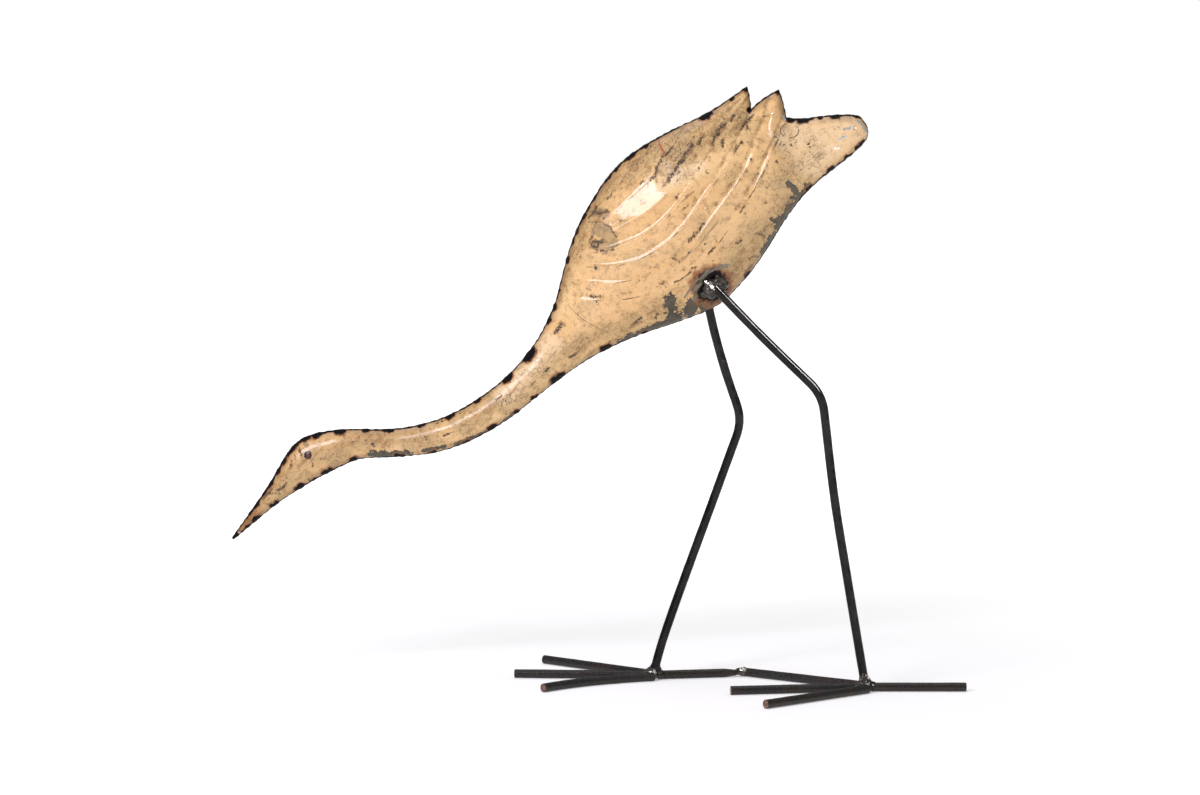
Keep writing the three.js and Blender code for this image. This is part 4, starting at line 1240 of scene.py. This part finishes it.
FILM_TEAR = {"tear": 0.35, "mottle": 0.35}
FLAKE_TEAR = {"tear": 0.7, "mottle": 0.7}
BURN_TEAR = {"tear": 0.18, "mottle": 0.15}
GROUND_TEAR = {"crumbs": 0.4, "streak": 0.7}
AGE = [
    ("clouds", "cloud", {}, 0.2, 0.8, 1.0, HONEY),
    ("blotches", "blotch", {}, 0.46, 0.92, 0.60, OLIVE),
    ("mottling", "mottle", {}, 0.50, 0.98, 0.55, TAN),
    ("graining", "grain", {}, 0.56, 1.00, 0.45, TAN),
    ("flecks", "fleck", {}, 0.72, 0.95, 0.50, PALE),
    ("dirt", "dirt", {"blotch": 0.9}, 0.10, 0.95, 0.72, ("mottle", 0.3, 0.7, OLIVE, TAN)),
    # Lighter enamel, and painted sheen on the tail.
    ("pale_and_sheen", "pale_and_sheen", {"blotch": 0.5}, 0.0, 0.9, 0.65, PALE)]
SCRATCHES = [
    ("smear", "smear", {"dirt": 0.4}, 0.72, 0.98, 0.50, BROWN),
    ("scuff", "scuff", {}, 0.88, 1.0, 0.6, BROWN),
    ("hair", "hair", {}, 0.95, 1.05, 0.5, BROWN),
    ("speck", "grain", {"blotch": 0.45, "dirt": 0.30}, 0.86, 1.02, 0.80, CRUMB),
    ("chip", "chip", {"tear": 0.5}, 1.02, 1.10, 0.9, SLATE),
    ("film edge", "film", FILM_TEAR, 0.30, 0.42, 0.35, BROWN)]
STAINS = [
    ("smudge", "stain", {"mottle": 1.0}, 0.20, 0.90, 0.48, BROWN),
    ("stain", "stain", {"crumbs": 0.9, "tear": 0.8}, 0.72, 0.86, 0.92, CRUMB)]
KNOCKS = [
    ("red", "red", {"crumbs": 0.6}, 0.45, 0.6, 0.85, SCRATCH_RED),
    ("dash", "crest", {"dash": 1.5}, 1.08, 1.18, 0.9, ("blotch", 0.4, 0.6, CRUMB, SLATE)),
    ("shaded rim", "rim", {"blotch": 7.0}, 6.5, 0.0, 0.60, BROWN),
    ("flake edge", "bare", FLAKE_TEAR, 0.36, 0.42, 1.0, DARK_STEEL)]
BURNS = [
    ("edge", "rim", {"tear": 0.7, "blotch": 1.2}, 1.25, 0.65, 1.0, SOOT),
    ("singed", "burn", BURN_TEAR, 0.02, 0.28, 0.80, SINGED),
    ("scorched", "burn", BURN_TEAR, 0.18, 0.40, 0.95, SCORCH),
    ("burnt", "burn", BURN_TEAR, 0.34, 0.47, 1.0, SOOT),
    ("ground", "ground", GROUND_TEAR, 0.46, 0.60, 0.9, ("streak", 0.3, 0.7, STEEL, GROUND_STEEL)),
    ("eye", "eye", {"crumbs": 0.25}, 0.42, 0.52, 1.0, EYE_BROWN),
    ("pupil", "eye", {"crumbs": 0.4}, 0.74, 0.94, 0.8, EYE_MIDDLE),
    # Polished metal, which also paints the glints at the tail's end, the feather tips and the beak.
    ("bright_and_glint", "bright_and_glint", {"tear": 0.9}, 0.45, 0.6, 1.0, BRIGHT_STEEL_AND_GLINT)]
print("coats of enamel:", sum(len(coats) for coats in (AGE, SCRATCHES, STAINS, KNOCKS, BURNS)))


# %% Laying coats
ENAMEL_GLOSS = 0.35


class Enamel(Finish):
    """A finish in coats, with its patterns by name, the colour laid so far, and each coat's share."""

    def __init__(self, name, seed):
        super().__init__(name, seed, ENAMEL_GLOSS)
        self.patterns = {kind: self.field(kind) for kind in FIELDS}
        self.shares = {}
        self.colour = CREAM

    def add_noises(self, table):
        """Makes the noises of a table, in its order."""
        self.patterns.update({name: self.noise(*values) for name, values in table.items()})

    def share(self, pattern, torn, low, high, most=1.0, least=0.0):
        """How much a coat covers: a ramp over its pattern, with the edge torn by other patterns."""
        value = self.patterns[pattern]
        for other, amount in torn.items():
            value = self.ragged(value, self.patterns[other], amount)
        return self.ramp(value, low, high, least, most)

    def coat(self, share, colour):
        """Lays a colour, or two colours that go over into each other, on what is there."""
        if isinstance(colour, tuple) and len(colour) == 5:
            pattern, low, high, first, last = colour
            colour = self.mix(self.share(pattern, {}, low, high), first, last)
        self.colour = self.mix(share, self.colour, colour)

    def lay(self, coats):
        """Lays the coats of a table, each over the one before."""
        for name, pattern, torn, low, high, most, colour in coats:
            self.shares[name] = self.share(pattern, torn, low, high, most)
            self.coat(self.shares[name], colour)


# %% [markdown]
# The coats go on in three steps, and the share of each is remembered. Then the same shares say where the
# enamel is dull, where bare metal shows, and how deep each coat is sunk into the surface.

# %% Enamel
ENAMEL_DEPTH = 0.3
CLEAN_GLOSS = (0.065, 0.13)
CHARRED_GLOSS = (0.72, 0.26)
BARE_METAL, SCALE_METAL = 0.5, 0.85
PEEL, DENT, CINDER = 0.05, 0.12, 0.5
SUNK = {"bared": 0.6, "stain": 0.3, "dash": 0.5, "chip": 0.5, "line": 0.3, "speck": 0.15, "thread": 0.10}


def grow_old(f):
    """Clouds, mottle and dirt, brown feather grooves, browning by heat, and fine dark threads in the coat.
    """
    f.add_noises(COAT_NOISES)
    f.lay(AGE)
    # Brown at the foot of each feather's flank, where the relief is lowest.
    groove = f.share("groove", {"mottle": 1.0}, 0.25, 1.10, 0.62)
    f.coat(f.math("MULTIPLY", groove, f.share("groove", {}, 0.05, 0.3)), BROWN)
    f.coat(f.share("warm", {"mottle": 0.9}, 0.30, 0.70, 0.9), RUST_ORANGE)
    worked = f.share("blotch", {"dirt": 0.5}, 0.25, 0.60, 0.55)
    f.shares["thread"] = f.math("MULTIPLY", f.threads(70, 4, 0.07), worked)
    craze = f.math("MULTIPLY", f.threads(230, 3, 0.10), f.share("mottle", {}, 0.40, 0.75, 0.40))
    f.coat(f.math("MAXIMUM", f.shares["thread"], craze), BROWN)


def wear(f, arcs):
    """Scratches and chips, skins of old lacquer, stains, and scored lines and arcs."""
    f.add_noises(WEAR_NOISES)
    f.lay(SCRATCHES)
    skin = f.share("mottle", {"crumbs": 0.9}, 0.2, 0.9, 0.72, 0.10)
    f.coat(f.math("MULTIPLY", f.share("film", FILM_TEAR, 0.38, 0.50), skin), FILM)
    f.lay(STAINS)
    line = f.share("line", {"crumbs": 0.9, "mottle": 0.8}, 0.50, 0.80, 0.75)
    for arc in arcs:
        broken = f.ramp(f.noise(160, 4, 0.6), 0.35, 0.6, 0.25, 0.85)
        line = f.math("MAXIMUM", line, f.math("MULTIPLY", f.arc(*arc), broken))
    f.shares["line"] = line
    f.coat(line, DARK_STEEL)


def knock_and_burn(f):
    """Knocked feather edges, flakes down to the steel, then the marks of torch, grinder and brush."""
    f.add_noises(BURN_NOISES)
    f.lay(KNOCKS)
    f.shares["bared"] = f.share("bare", FLAKE_TEAR, 0.46, 0.52)
    pitted = f.mix(f.patterns["crumbs"], DARK_STEEL, STEEL)
    f.coat(f.shares["bared"], f.mix(f.share("mottle", {}, 0.1, 0.8), pitted, STEEL))
    f.lay(BURNS)


def enamel(name, seed, arcs):
    """Lays all coats, then works out gloss, metal and relief from their shares."""
    f = Enamel(name, seed)
    grow_old(f)
    wear(f, arcs)
    knock_and_burn(f)
    shares, patterns = f.shares, f.patterns
    roughness = f.blend(shares["dirt"], f.ramp(patterns["blotch"], 0.3, 0.9, *CLEAN_GLOSS), 0.30)
    charred = f.ramp(patterns["rim"], 4.0, 10.0, *CHARRED_GLOSS)
    dull = {"speck": 0.4, "stain": 0.4, "dash": 0.4, "bared": 0.45, "burnt": charred, "ground": 0.42,
            "edge": 0.7, "bright_and_glint": 0.25}
    for coat, value in dull.items():
        roughness = f.blend(shares[coat], roughness, value)
    bare = f.math("MAXIMUM", shares["bared"], shares["ground"])
    scale = f.math("MAXIMUM", shares["bright_and_glint"], f.math("MAXIMUM", shares["burnt"], shares["edge"]))
    metal = f.math("MAXIMUM", f.math("MULTIPLY", bare, BARE_METAL), f.math("MULTIPLY", scale, SCALE_METAL))
    peel = f.math("MULTIPLY", patterns["orange peel"], PEEL)
    height = f.math("ADD", peel, f.math("MULTIPLY", patterns["dent"], DENT))
    for coat, depth in SUNK.items():
        height = f.math("MULTIPLY_ADD", shares[coat], -depth, height)
    height = f.math("MULTIPLY_ADD", shares["burnt"], f.math("MULTIPLY", patterns["cinder"], CINDER), height)
    return f.finish(f.colour, roughness, metal, height, ENAMEL_DEPTH)


side_enamel = {"left": enamel("enamel_left", 0.0, LEFT_ARCS),
               "right": enamel("enamel_right", 300.0, RIGHT_ARCS)}
print("enamel:", {side: len(made.node_tree.nodes) for side, made in side_enamel.items()}, "nodes")


# %% [markdown]
# The legs were dipped in black lacquer, glossy but full of dust. The toes have lost most of theirs and
# show brown, dull steel, with bright rust on the saw cuts. The welds are black glassy slag with spots
# where the wire brush has reached the metal, and those pale spots also stand for painted glints.

# %% Lacquer, bar and weld
LACQUER_BLACKS = (0.0040, 0.0037, 0.0034), (0.0100, 0.0086, 0.0073)
LEG_RUST = (0.060, 0.035, 0.021)
LEG_DUST = (0.10, 0.092, 0.085)
BAR_BROWNS = (0.030, 0.023, 0.019), (0.022, 0.021, 0.021)
BAR_RUBBED = (0.075, 0.055, 0.043)
BAR_DARK = (0.014, 0.012, 0.011)
SAWN_RUSTS = (0.150, 0.062, 0.040), (0.270, 0.150, 0.105)
SLAG_BLACKS = (0.016, 0.015, 0.014), (0.060, 0.052, 0.038)
SLAG_BROWN = (0.110, 0.082, 0.040)
# The brushed-metal colour, also used for painted glints on the welds.
BRUSHED_AND_GLINT = (0.78, 0.74, 0.66)
COPPER = (0.30, 0.13, 0.07)
SEAM_BLACKS = (0.008, 0.007, 0.006), (0.030, 0.021, 0.014)
SEAM_RUBBED = (0.16, 0.12, 0.08)


def lacquer(name, seed):
    """Black with dust in it, a little rust where it is scuffed, and grey specks."""
    f = Finish(name, seed, 0.18)
    dust, scuff = f.noise(60, 4, 0.6), f.noise(240, 4, 0.6)
    colour = f.mix(f.ramp(dust, 0.35, 0.7), *LACQUER_BLACKS)
    rust = f.ramp(scuff, 0.86, 0.95)
    colour = f.mix(f.math("MULTIPLY", rust, 0.6), colour, LEG_RUST)
    grey = f.ramp(f.noise(520, 3, 0.6), 0.90, 1.0)
    colour = f.mix(f.math("MULTIPLY", grey, 0.4), colour, LEG_DUST)
    roughness = f.blend(rust, f.ramp(dust, 0.3, 0.7, 0.14, 0.24), 0.5)
    flow = f.math("MULTIPLY", f.noise(300, 3, 0.6), 0.25)
    height = f.math("SUBTRACT", flow, f.math("MULTIPLY", rust, 0.4))
    return f.finish(colour, roughness, 0.0, height, 0.12)


def bar_steel(name, seed):
    """Brown and dark patches, rubbed spots, and rust on the saw cuts."""
    f = Finish(name, seed, 0.35)
    patches, fine = f.noise(42, 4, 0.6), f.noise(330, 4, 0.65)
    colour = f.mix(f.ramp(patches, 0.38, 0.62), *BAR_BROWNS)
    colour = f.mix(f.ramp(fine, 0.66, 1.0, 0, 0.4), colour, BAR_RUBBED)
    colour = f.mix(f.ramp(f.noise(150, 3), 0.78, 0.95, 0, 0.7), colour, BAR_DARK)
    cut = f.ramp(f.field("cut"), 0.5, 0.95)
    sawn = f.mix(f.ramp(fine, 0.35, 0.65), *SAWN_RUSTS)
    colour = f.mix(f.math("MULTIPLY", cut, 0.9), colour, sawn)
    roughness = f.ramp(fine, 0.3, 0.7, 0.24, 0.42)
    return f.finish(colour, roughness, 0.2, f.math("MULTIPLY", fine, 0.8), 0.12)


def weld_metal(name, seed):
    """Black slag with brown in it, bright where the brush has been, and a few spots of copper. The
    bright brushed spots also stand for painted glints.
    """
    f = Finish(name, seed)
    slag, fine = f.noise(260, 3, 0.6), f.noise(700, 3, 0.6)
    colour = f.mix(f.ramp(slag, 0.42, 0.62), *SLAG_BLACKS)
    colour = f.mix(f.ramp(f.noise(190, 3), 0.70, 0.90, 0, 0.7), colour, SLAG_BROWN)
    # Brushed metal at the marked spots; it also paints the glints on the welds.
    shine = f.ramp(f.ragged(f.field("bright_and_glint"), slag, 0.8), 0.42, 0.56)
    colour = f.mix(shine, colour, BRUSHED_AND_GLINT)
    copper = f.ramp(f.noise(310, 2), 0.88, 0.98, 0, 0.7)
    colour = f.mix(copper, colour, COPPER)
    roughness = f.blend(shine, f.ramp(fine, 0.3, 0.7, 0.18, 0.34), 0.22)
    metal = f.ramp(f.math("MAXIMUM", shine, copper), 0.0, 1.0, 0.25, 1.0)
    return f.finish(colour, roughness, metal, f.math("MULTIPLY", slag, 1.0), 0.25)


def seam_steel(name, seed):
    """Black scale with a few rubbed spots."""
    f = Finish(name, seed, 0.3)
    slag, fine = f.noise(190, 3, 0.6), f.noise(600, 3, 0.6)
    colour = f.mix(f.ramp(slag, 0.4, 0.65), *SEAM_BLACKS)
    colour = f.mix(f.ramp(fine, 0.80, 0.95, 0, 0.6), colour, SEAM_RUBBED)
    roughness = f.ramp(fine, 0.3, 0.7, 0.55, 0.75)
    return f.finish(colour, roughness, 0.7, f.math("MULTIPLY", fine, 0.8), 0.15)


black_lacquer = lacquer("black_lacquer", 20.0)
brown_bar = bar_steel("brown_bar_steel", 40.0)
slag = weld_metal("weld_slag", 60.0)
dark_seam = seam_steel("seam_steel", 80.0)
print("metal finishes:", [made.name for made in (black_lacquer, brown_bar, slag, dark_seam)])


# %% [markdown]
# Each piece takes the place of its plain solid in the frame, and rides on the only body there is. The
# seam bead has no solid of its own, because it lies in the joint between the two halves.

# %% Pieces in place
for name, mesh in (("left", left_mesh), ("right", right_mesh)):
    place(name + "_enamelled_half", mesh, side_enamel[name], "body_enamel", [name + "_body_half"])
    place(name + "_lacquered_leg", leg_meshes[name], black_lacquer, "leg_lacquer", [name + "_leg"])
for name, mesh in toe_meshes.items():
    place(name + "_bar", mesh, brown_bar, "toe_steel", [name])
for name, mesh in heaps.items():
    place(name + "_heap", mesh, slag, "weld_metal", [name])
place("rim_seam_bead", seam_mesh, dark_seam, "weld_metal", [])

# %% [markdown]
# The bird stands on a wide sheet of white paper. Further out the paper glows by itself, as if it were
# lit from behind, and where it ends the camera sees a white room, so there is no horizon from any side.

# %% Floor
FLOOR_HALF = 14.0
PAPER_GLOW = (0.30, 1.0)
GLOW_STARTS, GLOW_FULL = 0.25, 1.5
PAPER_WHITES = (0.90, 0.90, 0.895), (0.92, 0.92, 0.918)
WHITE = (1.0, 1.0, 1.0, 1.0)


def floor_mesh():
    """A flat grid of four corners."""
    x, y = np.meshgrid([-FLOOR_HALF, FLOOR_HALF], [-FLOOR_HALF, FLOOR_HALF])
    points = np.column_stack([x.ravel(), y.ravel(), np.zeros(4)])
    mesh = bpy.data.meshes.new("paper")
    mesh.from_pydata(points.tolist(), [], grid_triangles(2, 2)[:, ::-1].tolist())
    return mesh


def white_paper():
    """Matt white, with a glow that grows with the distance from the middle."""
    f = Finish("white_paper", 90.0)
    colour = f.mix(f.ramp(f.noise(3, 2), 0.3, 0.7), *PAPER_WHITES)
    away = f.node("VectorMath", {0: f.place}, 1, operation="LENGTH")
    f.feed(f.shader.inputs["Emission Color"], WHITE)
    f.feed(f.shader.inputs["Emission Strength"], f.ramp(away, GLOW_STARTS, GLOW_FULL, *PAPER_GLOW))
    return f.finish(colour, 0.85, 0.0, f.noise(400, 2), 0.02)


paper = bpy.data.objects.new("paper", floor_mesh())
bpy.context.scene.collection.objects.link(paper)
paper.data.materials.append(white_paper())
print("paper reaches", FLOOR_HALF, "m each way")

# %% [markdown]
# A softbox from the left front above draws the broad light on the shoulder and the streaks on the
# feathers. One from the right is flagged off everything but the legs, so it only draws the line down
# the thighs, and a small one beside it touches the tail and the feather tips. A twin of the first
# stands on the far side for whoever walks round the bird, and is flagged off everything but the right
# half. A wide weak one overhead fills in.

# %% Lights
BIRD_MIDDLE = np.array([0.0, 0.0, 0.30])
FEATHER_RISE = (0.82, 0, 0.57)
THIGH_FALL = (0.71, 0, -0.70)
LEVEL = (1, 0, 0)
KEY_TINT = (1.0, 0.95, 1.09)
PLAIN = (1, 1, 1)
KEY_SIZE = (0.98, 0.42)


def softbox(name, direction, away, size, radiance, lengthwise=LEVEL, tint=PLAIN, only=()):
    """A flat light at a distance in a direction, turned to the bird, with its first side as near as can
    be to the lengthwise direction. Power = pi x area x radiance. If pieces are named, it is flagged off
    everything else."""
    data = bpy.data.lights.new(name, "AREA")
    data.shape = "RECTANGLE"
    data.size, data.size_y = size
    data.energy = math.pi * size[0] * size[1] * radiance
    data.color = tint
    light = bpy.data.objects.new(name, data)
    heading = np.array(direction, float) / np.linalg.norm(direction)
    upwards = np.cross(heading, lengthwise)
    upwards /= np.linalg.norm(upwards)
    turn = Matrix(np.column_stack([np.cross(upwards, heading), upwards, heading]).tolist())
    light.location = BIRD_MIDDLE + heading * away
    light.rotation_euler = turn.to_euler()
    bpy.context.scene.collection.objects.link(light)
    if only:
        lit = bpy.data.collections.new("lit_by_" + name)
        for piece in only:
            lit.objects.link(bpy.data.objects[piece])
        light.light_linking.receiver_collection = lit


softbox("key_softbox", (-0.51, -0.70, 0.50), 1.75, KEY_SIZE, 14.4, FEATHER_RISE, KEY_TINT)
softbox("side_softbox", (0.58, -0.64, 0.49), 2.0, (0.38, 0.13), 14.0, THIGH_FALL)
softbox("leg_softbox", (0.75, -0.45, 0.50), 2.0, (0.55, 0.40), 110.0, THIGH_FALL,
        only=[name + "_lacquered_leg" for name in LEGS])
softbox("far_softbox", (-0.51, 0.70, 0.50), 1.75, KEY_SIZE, 13.0, FEATHER_RISE, KEY_TINT,
        only=["right_enamelled_half"])
softbox("overhead_softbox", (0.0, 0.10, 1.0), 2.2, (2.0, 1.4), 2.2)

# %% [markdown]
# The room's own light is weak, or it would veil the black bars. Only where the camera looks straight
# at the room is it white, which the Light Path node tells.

# %% Room
ROOM_LIGHT = 0.26
ROOM_SEEN = 1.0

world = bpy.data.worlds.new("room")
world.use_nodes = True
nodes, links = world.node_tree.nodes, world.node_tree.links
strength = nodes.new("ShaderNodeMapRange")
strength.inputs["To Min"].default_value = ROOM_LIGHT
strength.inputs["To Max"].default_value = ROOM_SEEN
links.new(nodes.new("ShaderNodeLightPath").outputs["Is Camera Ray"], strength.inputs["Value"])
links.new(strength.outputs["Result"], nodes["Background"].inputs["Strength"])
nodes["Background"].inputs["Color"].default_value = WHITE
bpy.context.scene.world = world
bpy.context.scene.view_settings.view_transform = "Standard"
print("room light", ROOM_LIGHT, "and", ROOM_SEEN, "for the camera")
